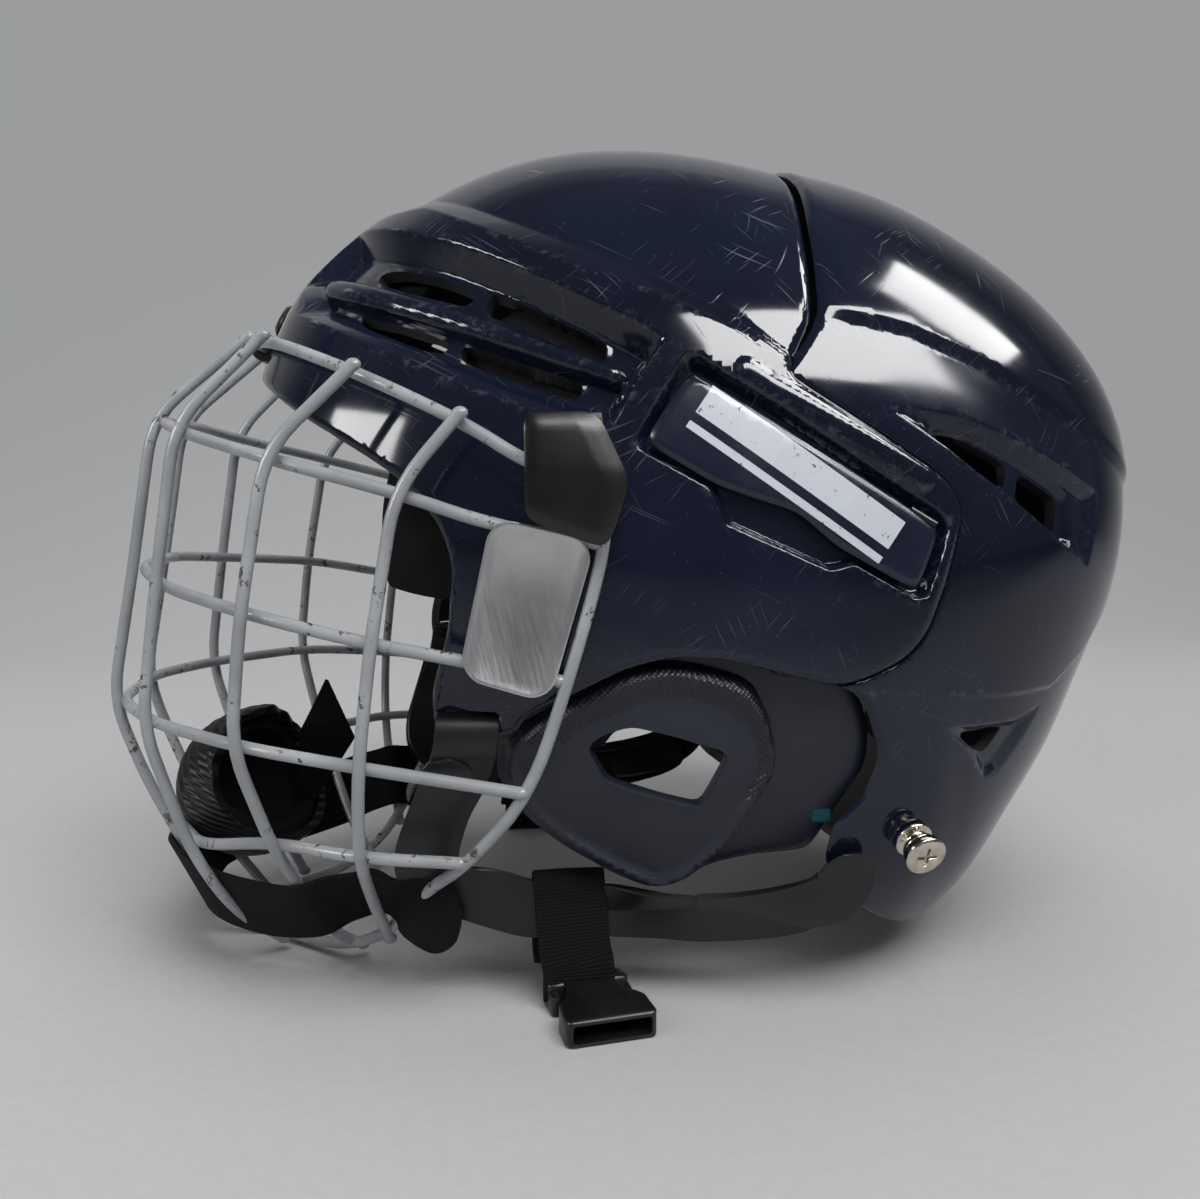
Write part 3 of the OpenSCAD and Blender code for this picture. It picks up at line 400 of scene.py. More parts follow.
def to_both_sides(piece, name, body, material, nodes, degrees=40):
    """Finishes a left piece and its mirrored right one. A body or node with a side has {} for it."""
    other = mirrored_copy(piece, name.format("right"))
    for made, side in ((piece, "left"), (other, "right")):
        finish_piece(made, name.format(side), body.format(side), material,
                     [n.format(side) for n in nodes], degrees)
    return piece, other


# Materials


def add(tree, kind, settings=None, links=None):
    """Adds a node, sets its properties or sockets, and links its inputs."""
    node = tree.nodes.new(kind)
    for key, value in (settings or {}).items():
        if isinstance(key, int) or key in node.inputs:
            node.inputs[key].default_value = value
        else:
            setattr(node, key, value)
    for key, (source, output) in (links or {}).items():
        tree.links.new(source.outputs[output], node.inputs[key])
    return node


def new_material(name, **sockets):
    """A new material with its tree, shader and coordinates, or the one of that name and no tree."""
    material = bpy.data.materials.get(name)
    if material:
        return material, None, None, None
    material = bpy.data.materials.new(name)
    material.use_nodes = True
    tree = material.node_tree
    shader = tree.nodes["Principled BSDF"]
    for key, value in sockets.items():
        shader.inputs[key.replace("_", " ")].default_value = value
    coordinates = add(tree, "ShaderNodeTexCoord")
    return material, tree, shader, coordinates


def ramp(tree, source, output, stops):
    """Turns a value into the colours of its stops."""
    node = add(tree, "ShaderNodeValToRGB", links={"Fac": (source, output)})
    elements = node.color_ramp.elements
    elements[0].position, elements[0].color = stops[0][0], stops[0][1]
    elements[1].position, elements[1].color = stops[-1][0], stops[-1][1]
    for position, colour in stops[1:-1]:
        elements.new(position).color = colour
    return node


def maths(tree, operation, *inputs, clamp=False):
    """A maths node. Each input is a number, or a pair of a node and the name of its output."""
    node = add(tree, "ShaderNodeMath", {"operation": operation, "use_clamp": clamp})
    for key, value in enumerate(inputs):
        if isinstance(value, tuple):
            tree.links.new(value[0].outputs[value[1]], node.inputs[key])
        else:
            node.inputs[key].default_value = value
    return node


def noise(tree, coordinates, scale, detail, roughness=0.5):
    """Cloudy noise that stays with the solid."""
    return add(tree, "ShaderNodeTexNoise", {"Scale": scale, "Detail": detail, "Roughness": roughness},
               {"Vector": (coordinates, "Object")})


def spread(tree, source, output, start, end, low, high):
    """Stretches a value from one range to another and stops it at both ends."""
    return add(tree, "ShaderNodeMapRange", {"From Min": start, "From Max": end, "To Min": low, "To Max": high},
               {"Value": (source, output)})


def blend(tree, share, first, second):
    """Mixes two colours by a share. Each colour is a value, or a pair of a node and the name of its output."""
    fixed = {key: value for key, value in (("A", first), ("B", second)) if len(value) == 4}
    linked = {key: value for key, value in (("A", first), ("B", second)) if len(value) == 2}
    return add(tree, "ShaderNodeMix", {"data_type": "RGBA", **fixed}, {"Factor": share, **linked})


def drive(tree, shader, socket, source, output):
    tree.links.new(source.outputs[output], shader.inputs[socket])


def dent(tree, shader, strength, distance, source, output, invert=False):
    """Raises or sinks a surface by a value, over a distance in millimetres."""
    bump = add(tree, "ShaderNodeBump", {"Strength": strength, "Distance": distance * MM, "invert": invert},
               {"Height": (source, output)})
    drive(tree, shader, "Normal", bump, "Normal")


BLACK = (0, 0, 0, 1)
WHITE = (1, 1, 1, 1)


def scratches(tree, coordinates, length, width, share, turn):
    """Straight hairlines in one direction: thin discs scattered through the solid, of which a share is shown."""
    turned = add(tree, "ShaderNodeMapping",
                 {"vector_type": "TEXTURE", "Rotation": turn, "Scale": (length / 500, length / 500, width / 500)},
                 {"Vector": (coordinates, "Object")})
    drift = noise(tree, coordinates, 22.0, 1.0)
    bent = add(tree, "ShaderNodeVectorMath", {"operation": "MULTIPLY_ADD", 1: (0, 0, 3 / width)},
               {0: (drift, "Color"), 2: (turned, "Vector")})
    cells = add(tree, "ShaderNodeTexVoronoi", {"Scale": 1.0}, {"Vector": (bent, "Vector")})
    line = ramp(tree, cells, "Distance", [(0.0, WHITE), (0.3, BLACK)])
    parts = add(tree, "ShaderNodeSeparateColor", links={"Color": (cells, "Color")})
    shown = maths(tree, "LESS_THAN", (parts, "Red"), share)
    faint = maths(tree, "MULTIPLY", (shown, "Value"), (parts, "Green"))
    return maths(tree, "MULTIPLY", (line, "Color"), (faint, "Value"))


def shell_gloss(name, colour, deep):
    """Injection-moulded ABS: a deep even colour under a hard gloss, with white hairlines where it is worn."""
    material, tree, shader, coordinates = new_material(name, Roughness=0.2, IOR=1.46)
    if tree is None:
        return material
    # The colour drifts a little over 60 mm, as the mould flow leaves it
    drift = noise(tree, coordinates, 16.0, 2.0)
    base = ramp(tree, drift, "Fac", [(0.35, deep), (0.7, colour)])
    # Hairlines 0.2 to 0.3 mm wide and up to 14 mm long, in four directions
    lines = None
    for length, width, share, turn in ((14, 0.26, 0.1, (0.2, 0.4, 0)), (8, 0.22, 0.14, (-0.3, 1.2, 0.2)),
                                       (10, 0.24, 0.12, (0.4, -0.7, 0.3)), (6, 0.22, 0.16, (0.1, 2.2, -0.5))):
        more = scratches(tree, coordinates, length, width, share, turn)
        lines = maths(tree, "MAXIMUM", (lines, "Value"), (more, "Value")) if lines else more
    patches = noise(tree, coordinates, 34.0, 3.0)
    busy = ramp(tree, patches, "Fac", [(0.4, BLACK), (0.62, WHITE)])
    # Wear gathers on the crown, where the helmet is set down
    heights = add(tree, "ShaderNodeSeparateXYZ", links={"Vector": (coordinates, "Object")})
    high = spread(tree, heights, "Z", 0.08, 0.2, 0.15, 0.9)
    often = maths(tree, "MULTIPLY", (busy, "Color"), (high, "Result"))
    marks = maths(tree, "MULTIPLY", (lines, "Value"), (often, "Value"))
    # Ridges are rubbed pale in broken patches a few millimetres long
    ridge = add(tree, "ShaderNodeAttribute", {"attribute_name": "wear"})
    rubs = noise(tree, coordinates, 420.0, 5.0, 0.7)
    broken = ramp(tree, rubs, "Fac", [(0.52, BLACK), (0.8, WHITE)])
    rubbed = maths(tree, "MULTIPLY", (ridge, "Fac"), (broken, "Color"))
    rubbed = maths(tree, "MULTIPLY", (rubbed, "Value"), 0.2)
    # Dust specks under half a millimetre, drawn a little larger so that they show
    specks = add(tree, "ShaderNodeTexVoronoi", {"Scale": 300.0}, {"Vector": (coordinates, "Object")})
    dots = ramp(tree, specks, "Distance", [(0.0, WHITE), (0.09, BLACK)])
    dust = maths(tree, "MULTIPLY", (dots, "Color"), 0.13)
    worn = maths(tree, "MAXIMUM", (marks, "Value"), (rubbed, "Value"))
    worn = maths(tree, "MAXIMUM", (worn, "Value"), (dust, "Value"), clamp=True)
    colour_mix = blend(tree, (worn, "Value"), (base, "Color"), linear("#a9adb8"))
    drive(tree, shader, "Base Color", colour_mix, "Result")
    cloudy = noise(tree, coordinates, 30.0, 6.0)
    rough = spread(tree, cloudy, "Fac", 0.35, 0.75, 0.07, 0.18)
    drive(tree, shader, "Roughness", rough, "Result")
    dent(tree, shader, 0.3, 0.1, marks, "Value", True)
    return material


def grained(name, colour, light, roughness, grain, depth, ior=1.5, contrast=0.5):
    """Moulded black or navy plastic, vinyl or rubber with a fine grain that breaks up its gloss."""
    material, tree, shader, coordinates = new_material(name, Roughness=roughness, IOR=ior)
    if tree is None:
        return material
    fine = noise(tree, coordinates, 1000 / grain, 3.0)
    wide = noise(tree, coordinates, 45.0, 5.0)
    base = ramp(tree, wide, "Fac", [(0.35, linear(colour)), (0.35 + contrast, linear(light))])
    drive(tree, shader, "Base Color", base, "Color")
    rough = spread(tree, wide, "Fac", 0.3, 0.7, roughness - 0.09, roughness + 0.09)
    drive(tree, shader, "Roughness", rough, "Result")
    dent(tree, shader, 0.6, depth, fine, "Fac")
    return material


def powder_coat(name):
    """Steel wire with a light grey powder coat: an even satin skin, chipped to dark metal here and there."""
    material, tree, shader, coordinates = new_material(name, Roughness=0.25, IOR=1.5)
    if tree is None:
        return material
    chips = noise(tree, coordinates, 330.0, 5.0, 0.7)
    gate = noise(tree, coordinates, 55.0, 2.0)
    spots = ramp(tree, chips, "Fac", [(0.58, BLACK), (0.62, WHITE)])
    area = ramp(tree, gate, "Fac", [(0.48, BLACK), (0.54, WHITE)])
    worn = maths(tree, "MULTIPLY", (spots, "Color"), (area, "Color"))
    tone = ramp(tree, gate, "Fac", [(0.3, linear("#8e9195")), (0.7, linear("#a9acaf"))])
    mix = blend(tree, (worn, "Value"), (tone, "Color"), linear("#4a4643"))
    drive(tree, shader, "Base Color", mix, "Result")
    peel = noise(tree, coordinates, 1400.0, 2.0)
    height = maths(tree, "SUBTRACT", (peel, "Fac"), (worn, "Value"))
    dent(tree, shader, 0.5, 0.12, height, "Value")
    return material


def brushed_plate(name):
    """Aluminium plate brushed along its length: fine lines that stretch its reflections."""
    material, tree, shader, coordinates = new_material(name, Metallic=1.0, Roughness=0.36)
    if tree is None:
        return material
    along = add(tree, "ShaderNodeMapping",
                {"vector_type": "TEXTURE", "Rotation": (0, math.radians(-14), 0), "Scale": (1, 1, 40)},
                {"Vector": (coordinates, "Object")})
    lines = add(tree, "ShaderNodeTexNoise", {"Scale": 3600.0, "Detail": 3.0}, {"Vector": (along, "Vector")})
    cloudy = noise(tree, coordinates, 40.0, 4.0)
    tone = ramp(tree, cloudy, "Fac", [(0.35, linear("#a9aaac")), (0.65, linear("#c9cacb"))])
    drive(tree, shader, "Base Color", tone, "Color")
    rough = spread(tree, lines, "Fac", 0.3, 0.7, 0.31, 0.42)
    drive(tree, shader, "Roughness", rough, "Result")
    dent(tree, shader, 0.35, 0.05, lines, "Fac")
    return material


def plated(name, colour, roughness):
    """Nickel-plated or zinc steel: a bright metal with faint turning marks and handling haze."""
    material, tree, shader, coordinates = new_material(name, Metallic=1.0, Roughness=roughness)
    if tree is None:
        return material
    haze = noise(tree, coordinates, 400.0, 4.0)
    rough = spread(tree, haze, "Fac", 0.3, 0.7, roughness * 0.6, roughness * 1.6)
    drive(tree, shader, "Roughness", rough, "Result")
    tone = ramp(tree, haze, "Fac", [(0.3, linear(colour)), (0.8, linear("#e8e2d4"))])
    drive(tree, shader, "Base Color", tone, "Color")
    return material


def webbing(name):
    """Woven polyester webbing: ribs across the strap 1.4 mm apart, each split by the warp threads."""
    material, tree, shader, _ = new_material(name, Roughness=0.85, Specular_IOR_Level=0.2)
    if tree is None:
        return material
    strap = add(tree, "ShaderNodeUVMap")
    ribs = add(tree, "ShaderNodeTexWave", {"wave_type": "BANDS", "bands_direction": "Y", "Scale": 0.36,
                                           "Distortion": 0.4, "Detail": 1.0}, {"Vector": (strap, "UV")})
    threads = add(tree, "ShaderNodeTexWave", {"wave_type": "BANDS", "bands_direction": "X", "Scale": 0.7,
                                              "Distortion": 0.6, "Detail": 1.0}, {"Vector": (strap, "UV")})
    weave = maths(tree, "MULTIPLY", (ribs, "Fac"), (threads, "Fac"))
    tone = ramp(tree, weave, "Value", [(0.05, linear("#040405")), (0.9, linear("#17181b"))])
    drive(tree, shader, "Base Color", tone, "Color")
    dent(tree, shader, 0.9, 0.4, weave, "Value")
    return material


def foam(name, dark, light):
    """Closed-cell foam: a dull skin with small open cells."""
    material, tree, shader, coordinates = new_material(name, Roughness=0.9, Specular_IOR_Level=0.2)
    if tree is None:
        return material
    cells = add(tree, "ShaderNodeTexVoronoi", {"Scale": 900.0}, {"Vector": (coordinates, "Object")})
    wide = noise(tree, coordinates, 60.0, 4.0)
    tone = ramp(tree, wide, "Fac", [(0.3, linear(dark)), (0.75, linear(light))])
    drive(tree, shader, "Base Color", tone, "Color")
    dent(tree, shader, 0.5, 0.3, cells, "Distance")
    return material


def dotted_plastic(name):
    """Moulded navy polypropylene whose raised rim has a grid of tiny dots, 0.9 mm apart."""
    material, tree, shader, coordinates = new_material(name, Roughness=0.42, IOR=1.5)
    if tree is None:
        return material
    flat = add(tree, "ShaderNodeMapping", {"Rotation": (0, math.radians(45), 0), "Scale": (1, 0, 1)},
               {"Vector": (coordinates, "Object")})
    dots = add(tree, "ShaderNodeTexVoronoi", {"Scale": 1000 / 0.95, "Randomness": 0.0}, {"Vector": (flat, "Vector")})
    wide = noise(tree, coordinates, 45.0, 5.0)
    rim = add(tree, "ShaderNodeAttribute", {"attribute_name": "rim"})
    height = maths(tree, "MULTIPLY", (dots, "Distance"), (rim, "Fac"))
    tone = ramp(tree, wide, "Fac", [(0.3, linear("#151826")), (0.8, linear("#1e2231"))])
    spot = ramp(tree, height, "Value", [(0.25, BLACK), (0.5, WHITE)])
    mix = blend(tree, (spot, "Color"), (tone, "Color"), linear("#080a12"))
    drive(tree, shader, "Base Color", mix, "Result")
    dent(tree, shader, 0.8, 0.3, height, "Value", True)
    return material


def gripped(name):
    """Soft black rubber: fine ribs 1.6 mm apart round the cup and brownish handling on its dotted front."""
    material, tree, shader, coordinates = new_material(name, Roughness=0.5, IOR=1.45)
    if tree is None:
        return material
    tilted = add(tree, "ShaderNodeMapping", {"vector_type": "TEXTURE", "Rotation": (0, math.radians(20), 0)},
                 {"Vector": (coordinates, "Object")})
    ribs = add(tree, "ShaderNodeTexWave", {"wave_type": "BANDS", "bands_direction": "Z", "Scale": 200.0,
                                           "Distortion": 0.6, "Detail": 1.0}, {"Vector": (tilted, "Vector")})
    across = add(tree, "ShaderNodeTexWave", {"wave_type": "BANDS", "bands_direction": "Y", "Scale": 160.0},
                 {"Vector": (tilted, "Vector")})
    grip = add(tree, "ShaderNodeAttribute", {"attribute_name": "grip"})
    dots = maths(tree, "MULTIPLY", (ribs, "Fac"), (across, "Fac"))
    raised = add(tree, "ShaderNodeMix", links={"Factor": (grip, "Fac"), "A": (ribs, "Fac"), "B": (dots, "Value")})
    tone = blend(tree, (grip, "Fac"), linear("#0c0c0d"), linear("#2c2924"))
    dark = blend(tree, (raised, "Result"), linear("#060606"), (tone, "Result"))
    drive(tree, shader, "Base Color", dark, "Result")
    dent(tree, shader, 0.7, 0.4, raised, "Result")
    return material


def striped_latch(name, colour, white):
    """The latch's glossy navy plate with two printed white stripes, slightly rubbed."""
    material, tree, shader, coordinates = new_material(name, Roughness=0.24, IOR=1.5)
    if tree is None:
        return material
    # The stripes run down the plate, 35 degrees off the level: one 7.4 mm wide and one 1.8 mm
    turned = add(tree, "ShaderNodeMapping",
                 {"vector_type": "TEXTURE", "Location": ((24 + ORIGIN_SHIFT) * MM, 0, 0.1335),
                  "Rotation": (0, math.radians(35), 0)}, {"Vector": (coordinates, "Object")})
    parts = add(tree, "ShaderNodeSeparateXYZ", links={"Vector": (turned, "Vector")})

    def stripe(centre, width, length):
        offset = maths(tree, "SUBTRACT", (parts, "Z"), centre * MM)
        away = maths(tree, "ABSOLUTE", (offset, "Value"))
        across = maths(tree, "LESS_THAN", (away, "Value"), width / 2 * MM)
        side = maths(tree, "ABSOLUTE", (parts, "X"))
        along = maths(tree, "LESS_THAN", (side, "Value"), length / 2 * MM)
        return maths(tree, "MULTIPLY", (across, "Value"), (along, "Value"))

    wide = stripe(1.0, 7.4, 54.0)
    thin = stripe(-5.8, 1.8, 54.0)
    both = maths(tree, "MAXIMUM", (wide, "Value"), (thin, "Value"))
    rub = noise(tree, coordinates, 420.0, 6.0, 0.7)
    kept = ramp(tree, rub, "Fac", [(0.33, BLACK), (0.38, WHITE)])
    printed = maths(tree, "MULTIPLY", (both, "Value"), (kept, "Color"))
    tone = blend(tree, (printed, "Value"), colour, white)
    drive(tree, shader, "Base Color", tone, "Result")
    haze = noise(tree, coordinates, 60.0, 5.0)
    rough = spread(tree, haze, "Fac", 0.3, 0.7, 0.16, 0.34)
    drive(tree, shader, "Roughness", rough, "Result")
    return material


def finish_of(name):
    """The materials by the name of the finish; each is made once."""
    colours = bpy.context.scene.helmet_finish
    makers = {
        "navy_shell": lambda: shell_gloss("Moulded navy ABS", tuple(colours.shell), tuple(colours.shell_deep)),
        # The shells' matt inside is painted near black: painted shade that darkens the vents, slots and rims
        "shell_inside_painted_shade": lambda: grained("Inner ABS painted near black as shade", "#05060a", "#0a0c12", 0.6, 0.4, 0.02),
        "latch_print": lambda: striped_latch("Printed navy ABS", tuple(colours.shell), tuple(colours.stripe)),
        "guard": lambda: dotted_plastic("Dotted navy polypropylene"),
        "wire": lambda: powder_coat("Powder-coated wire"),
        "plate": lambda: brushed_plate("Brushed aluminium"),
        "nickel": lambda: plated("Nickel-plated steel", "#b9b0a0", 0.16),
        "zinc": lambda: plated("Zinc-plated steel", "#8c8e92", 0.3),
        "black_metal": lambda: grained("Black painted steel", "#0c0c0d", "#1a1a1c", 0.3, 0.4, 0.02),
        "vinyl": lambda: grained("Moulded black vinyl", "#0d0d0d", "#191917", 0.34, 0.35, 0.03),
        "strap": lambda: grained("Flat vinyl strap", "#0a0a0b", "#161617", 0.38, 0.5, 0.03),
        "acetal": lambda: grained("Black acetal", "#0a0b0d", "#15171a", 0.4, 0.3, 0.02),
        "cup": lambda: gripped("Textured black rubber"),
        "webbing": lambda: webbing("Woven black webbing"),
        "foam": lambda: foam("Black closed-cell foam", "#08080a", "#121316"),
        "teal_foam": lambda: foam("Teal closed-cell foam", "#0a2f3a", "#124a57"),
    }
    return makers[name]()


# Shells


def dome_blank(name, cuts):
    """Half of a cube, cut into small squares and pushed out to the dome; its open side is the middle plane."""
    start_fresh()
    bpy.ops.mesh.primitive_cube_add(size=2)
    blank = bpy.context.object
    blank.name = name
    bpy.ops.object.mode_set(mode="EDIT")
    bpy.ops.mesh.subdivide(number_cuts=9)
    bpy.ops.mesh.subdivide(number_cuts=cuts - 1)
    bpy.ops.mesh.select_all(action="SELECT")
    bpy.ops.mesh.bisect(plane_co=(0, 0, 0), plane_no=(0, 1, 0), clear_outer=True, threshold=0.0001)
    bpy.ops.object.mode_set(mode="OBJECT")
    direction = np.tan(raw_points(blank) * math.pi / 4)
    direction /= np.linalg.norm(direction, axis=1)[:, None]
    set_positions(blank, dome_from(direction))
    return blank


def crease_line(x):
    """Height of the crease under the crown, seen from the side."""
    return np.interp(x, [-90, -57, -42, -25, -6, 10, 22, 47, 80], [203.5, 203.5, 195, 186.5, 178, 169, 160, 145, 128])


def under_crease(p):
    return crease_line(p[:, 0]) - p[:, 2]


def under_ledge(p):
    """How far a point lies below the ridge that runs outside the crease."""
    return under_crease(p) - np.interp(p[:, 0], [-90, -70, -46, -20, 0, 22], [6, 6, 7, 7, 6, 3])


def in_recess(p):
    return np.minimum(inside_by(p[:, 0], p[:, 2], VENT_RECESS), np.abs(p[:, 1]) - 17)


def on_bar(p):
    return np.minimum(near_line(p[:, 0], p[:, 2], (-82.6, 180), (-17.6, 155.4), 3.0, 1.9), np.abs(p[:, 1]) - 14)


def on_panel(p):
    """The small raised panel at the rear end of the vent recess."""
    return inside_by(p[:, 0], p[:, 2], [(-12.4, 160.4), (-9.4, 159.2), (-15.8, 149.6), (-18.6, 150.2)])


def in_slots(p):
    return np.max([inside_by(p[:, 0], p[:, 2], slot) for slot in SOFT_SLOTS], 0)


def on_ridge(p):
    """The rounded ridge along the wing's upper edge."""
    return near_line(p[:, 0], p[:, 2], (13, 155), (53, 131.4), 3.2, 3.6)


def in_rim(p):
    return inside_by(p[:, 0], p[:, 2], FRONT_OUTLINE)


def in_latch(p):
    return inside_by(p[:, 0], p[:, 2], LATCH_RECESS)


def front_height(p, sizes):
    """How far the front shell stands over the dome, with its band, wings, recesses and rounded rims."""
    x = p[:, 0]
    below, ledge = under_crease(p), under_ledge(p)
    rise = soft_ramp(below, np.maximum(below - ledge, 0.8), 0.5)
    band = sizes.band / MM * rise * (1 - smooth_step(4, 34, x))
    band *= 1 - smooth_step(16, 40, ledge)
    wing = sizes.wing / MM * smooth_step(-30, 12, x) * soft_ramp(below + 1, 2)
    height = np.maximum(band, wing)
    height += 1.1 * np.sin(np.clip(on_ridge(p) / 3.2, 0, 1) * math.pi / 2)
    recess = in_recess(p)
    height += (-sizes.recess / MM - height) * soft_ramp(recess, VENT_WALL)
    height += 1.1 * soft_ramp(on_panel(p), 0.7, 0.3)
    bar = on_bar(p)
    crown = -0.9 + 1.9 * np.sqrt(np.clip(bar / 2.6, 0, 1))
    height = np.where(bar > 0, np.maximum(height, crown), height + (crown - height) * np.clip(1 + bar / 0.8, 0, 1))
    height += (-sizes.latch / MM - height) * soft_ramp(in_latch(p), 1.1, 0.4)
    height += 0.3 * np.clip(1 + in_slots(p) / 1.1, 0, 1) * (recess > VENT_WALL) * (bar < -1.2)
    return height - RIM_ROLL * np.clip(1 - in_rim(p) / RIM_REACH, 0, 1) ** 2


def front_thin(p):
    """The wall is thinner in the latch recess, where the rear shell's flange slides under it."""
    return 1 - LATCH_THIN * (in_latch(p) > 0.5)


def front_wear(p):
    """Where the front shell is rubbed: its ridges and the edges of its recesses."""
    lines = np.abs(np.stack([under_ledge(p), on_ridge(p) - 1.5, in_recess(p), on_bar(p) - 1.5, in_latch(p) + 0.4]))
    return np.exp(-(lines.min(0) / 1.0) ** 2)


def under_wing(p):
    return inside_by(p[:, 0], p[:, 2], WING_COVER)


def rear_crease(p):
    return np.interp(p[:, 0], [28, 31, 53, 72, 104, 130], [170, 169, 165, 157.5, 142, 128]) - p[:, 2]


def in_rear_vent(p):
    return inside_by(p[:, 0], p[:, 2], REAR_VENT)


def in_rear_step(p):
    return inside_by(p[:, 0], p[:, 2], REAR_STEP)


def in_low_vent(p):
    return inside_by(p[:, 0], p[:, 2], LOW_VENT)


def under_waist(p):
    """How far a point lies below the crease at the height of the low vent."""
    return np.interp(p[:, 0], [50, 64, 81, 97, 110, 125], [82, 80.5, 79.4, 79.6, 87, 100]) - p[:, 2]


def rear_height(p, sizes):
    """How far the rear shell stands over the dome, with its vents, creases and the rebate under the wing."""
    x = p[:, 0]
    height = 1.2 * (1 - soft_ramp(rear_crease(p) + 3, 3)) * smooth_step(28, 40, x)
    height -= 0.8 * soft_ramp(under_waist(p), 1.4) * smooth_step(60, 72, x)
    height += (-2.0 - height) * soft_ramp(in_rear_vent(p), 3.0)
    height += (-3.6 - height) * soft_ramp(in_rear_step(p), 1.2, 0.4)
    height += (-2.6 - height) * soft_ramp(in_low_vent(p), 2.6)
    height += (REBATE - height) * soft_ramp(under_wing(p), 1.6, 0.35)
    rim = inside_by(x, p[:, 2], REAR_OUTLINE)
    return height - RIM_ROLL * np.clip(1 - rim / RIM_REACH, 0, 1) ** 2


def rear_wear(p):
    lines = np.abs(np.stack([rear_crease(p), in_rear_vent(p), in_low_vent(p), under_waist(p)]))
    return np.exp(-(lines.min(0) / 1.0) ** 2)


FRONT_OUTLINE = rounded(
    BROW_RIM + TEMPLE + EAR_TOP + WING_EDGE + CROWN_SEAM + [(-130, 240), (-130, 176)], 4, 4, True)
REAR_OUTLINE = rounded(
    [(18, 85)] + EAR_REAR + NAPE_RIM
    + [(175, 240), (37.6, 240), (36.6, 208), (33.6, 193), (31.6, 170), (23.2, 158), (18, 154)], 3, 3, True)
# The wing's outline, moved 0.5 mm outwards
WING_COVER = rounded(
    [(-10, 60), (33, 60), (34.4, 83.6)] + [(x + 0.5, z + (0.5 if z > 125 else -0.5)) for x, z in WING_EDGE]
    + [(22, 159), (-10, 159)], 3, 4, True)


SOFT_SLOTS = [rounded(slot, SLOT_ROUND, 3, True) for slot in VENT_SLOTS]
SOFT_REAR_SLOTS = [rounded(slot, SLOT_ROUND, 3, True) for slot in REAR_SLOTS]


def shell_half(name, outline, slots, levels, height, wear, sizes, cuts, thin=None):
    """One half of a shell: the dome inside an outline, less its slots, creased at its levels and raised."""
    piece = dome_blank(name, cuts)
    keep_faces(piece, lambda p: inside_by(p[:, 0], p[:, 2], outline) > -4)
    cut_along(piece, within(outline))
    for level in levels:
        cut_along(piece, level, remove=False)
    for slot in slots:
        cut_along(piece, lambda p, slot=slot: np.where(
            np.abs(p[:, 1]) > 15, -inside_by(p[:, 0], p[:, 2], slot), 9))
    base = positions(piece)
    set_positions(piece, raised_off(base, height(base, sizes)))
    set_value(piece, "wear", wear(base))
    walls = piece.vertex_groups.new(name="wall")
    share = thin(base) if thin else np.ones(len(base))
    for level in np.unique(share):
        walls.add([int(i) for i in np.flatnonzero(share == level)], float(level), "REPLACE")
    return piece


def whole_shell(piece, wall, name, nodes):
    """Mirrors a shell half, gives it its wall with its matt inner face and rims painted near black as painted shade,
    and shades it.
    """
    modify(piece, "MIRROR", use_axis=(False, True, False), use_clip=True, merge_threshold=0.0003)
    for finish in ("navy_shell", "shell_inside_painted_shade"):
        piece.data.materials.append(finish_of(finish))
    # The inner face and the rims take the near black inside colour, as painted shade in the openings and along the
    # edges
    modify(piece, "SOLIDIFY", thickness=wall, offset=-1.0, use_quality_normals=True, vertex_group="wall",
           thickness_vertex_group=0.0, material_offset=1, material_offset_rim=1)
    piece.vertex_groups.clear()
    finish_piece(piece, name, nodes[0], None, nodes, 50)
    return modify(piece, "WEIGHTED_NORMAL", keep_sharp=True, weight=60)


class HelmetShellSizes(bpy.types.PropertyGroup):
    width: bpy.props.FloatProperty(
        name="Width", description="Width of the shell over the ears", default=0.19, unit="LENGTH")
    wall: bpy.props.FloatProperty(
        name="Wall", description="Wall of the moulded shells", default=0.003, unit="LENGTH")
    band: bpy.props.FloatProperty(
        name="Band", description="How far the brow band stands proud", default=0.0032, unit="LENGTH")
    wing: bpy.props.FloatProperty(
        name="Wing", description="How far the wings stand proud", default=0.0018, unit="LENGTH")
    recess: bpy.props.FloatProperty(
        name="Vent recess", description="Depth of the front vent recess", default=0.0036, unit="LENGTH")
    latch: bpy.props.FloatProperty(
        name="Latch recess", description="Depth of the latch recess", default=0.0017, unit="LENGTH")
    cuts: bpy.props.IntProperty(
        name="Cuts", description="Tenths of the squares along each side of the front shell's blank",
        default=14, min=2, max=20)
    rear_cuts: bpy.props.IntProperty(
        name="Rear cuts", description="Tenths of the squares along each side of the rear shell's blank",
        default=12, min=2, max=20)


class HelmetCageSizes(bpy.types.PropertyGroup):
    wire: bpy.props.FloatProperty(name="Wire", description="Diameter of the wire", default=0.003, unit="LENGTH")
    reach: bpy.props.FloatProperty(
        name="Bend", description="How far from its corner a wire starts to bend", default=0.012, unit="LENGTH")
    plate: bpy.props.FloatProperty(
        name="Plate", description="Thickness of the side plates", default=0.0012, unit="LENGTH")


class HelmetStrapSizes(bpy.types.PropertyGroup):
    vinyl_width: bpy.props.FloatProperty(
        name="Vinyl width", description="Width of the vinyl straps", default=0.015, unit="LENGTH")
    vinyl: bpy.props.FloatProperty(
        name="Vinyl", description="Thickness of the vinyl straps", default=0.0016, unit="LENGTH")
    web_width: bpy.props.FloatProperty(
        name="Web width", description="Width of the buckle webbing", default=0.018, unit="LENGTH")
    web: bpy.props.FloatProperty(
        name="Web", description="Thickness of the webbing", default=0.0014, unit="LENGTH")


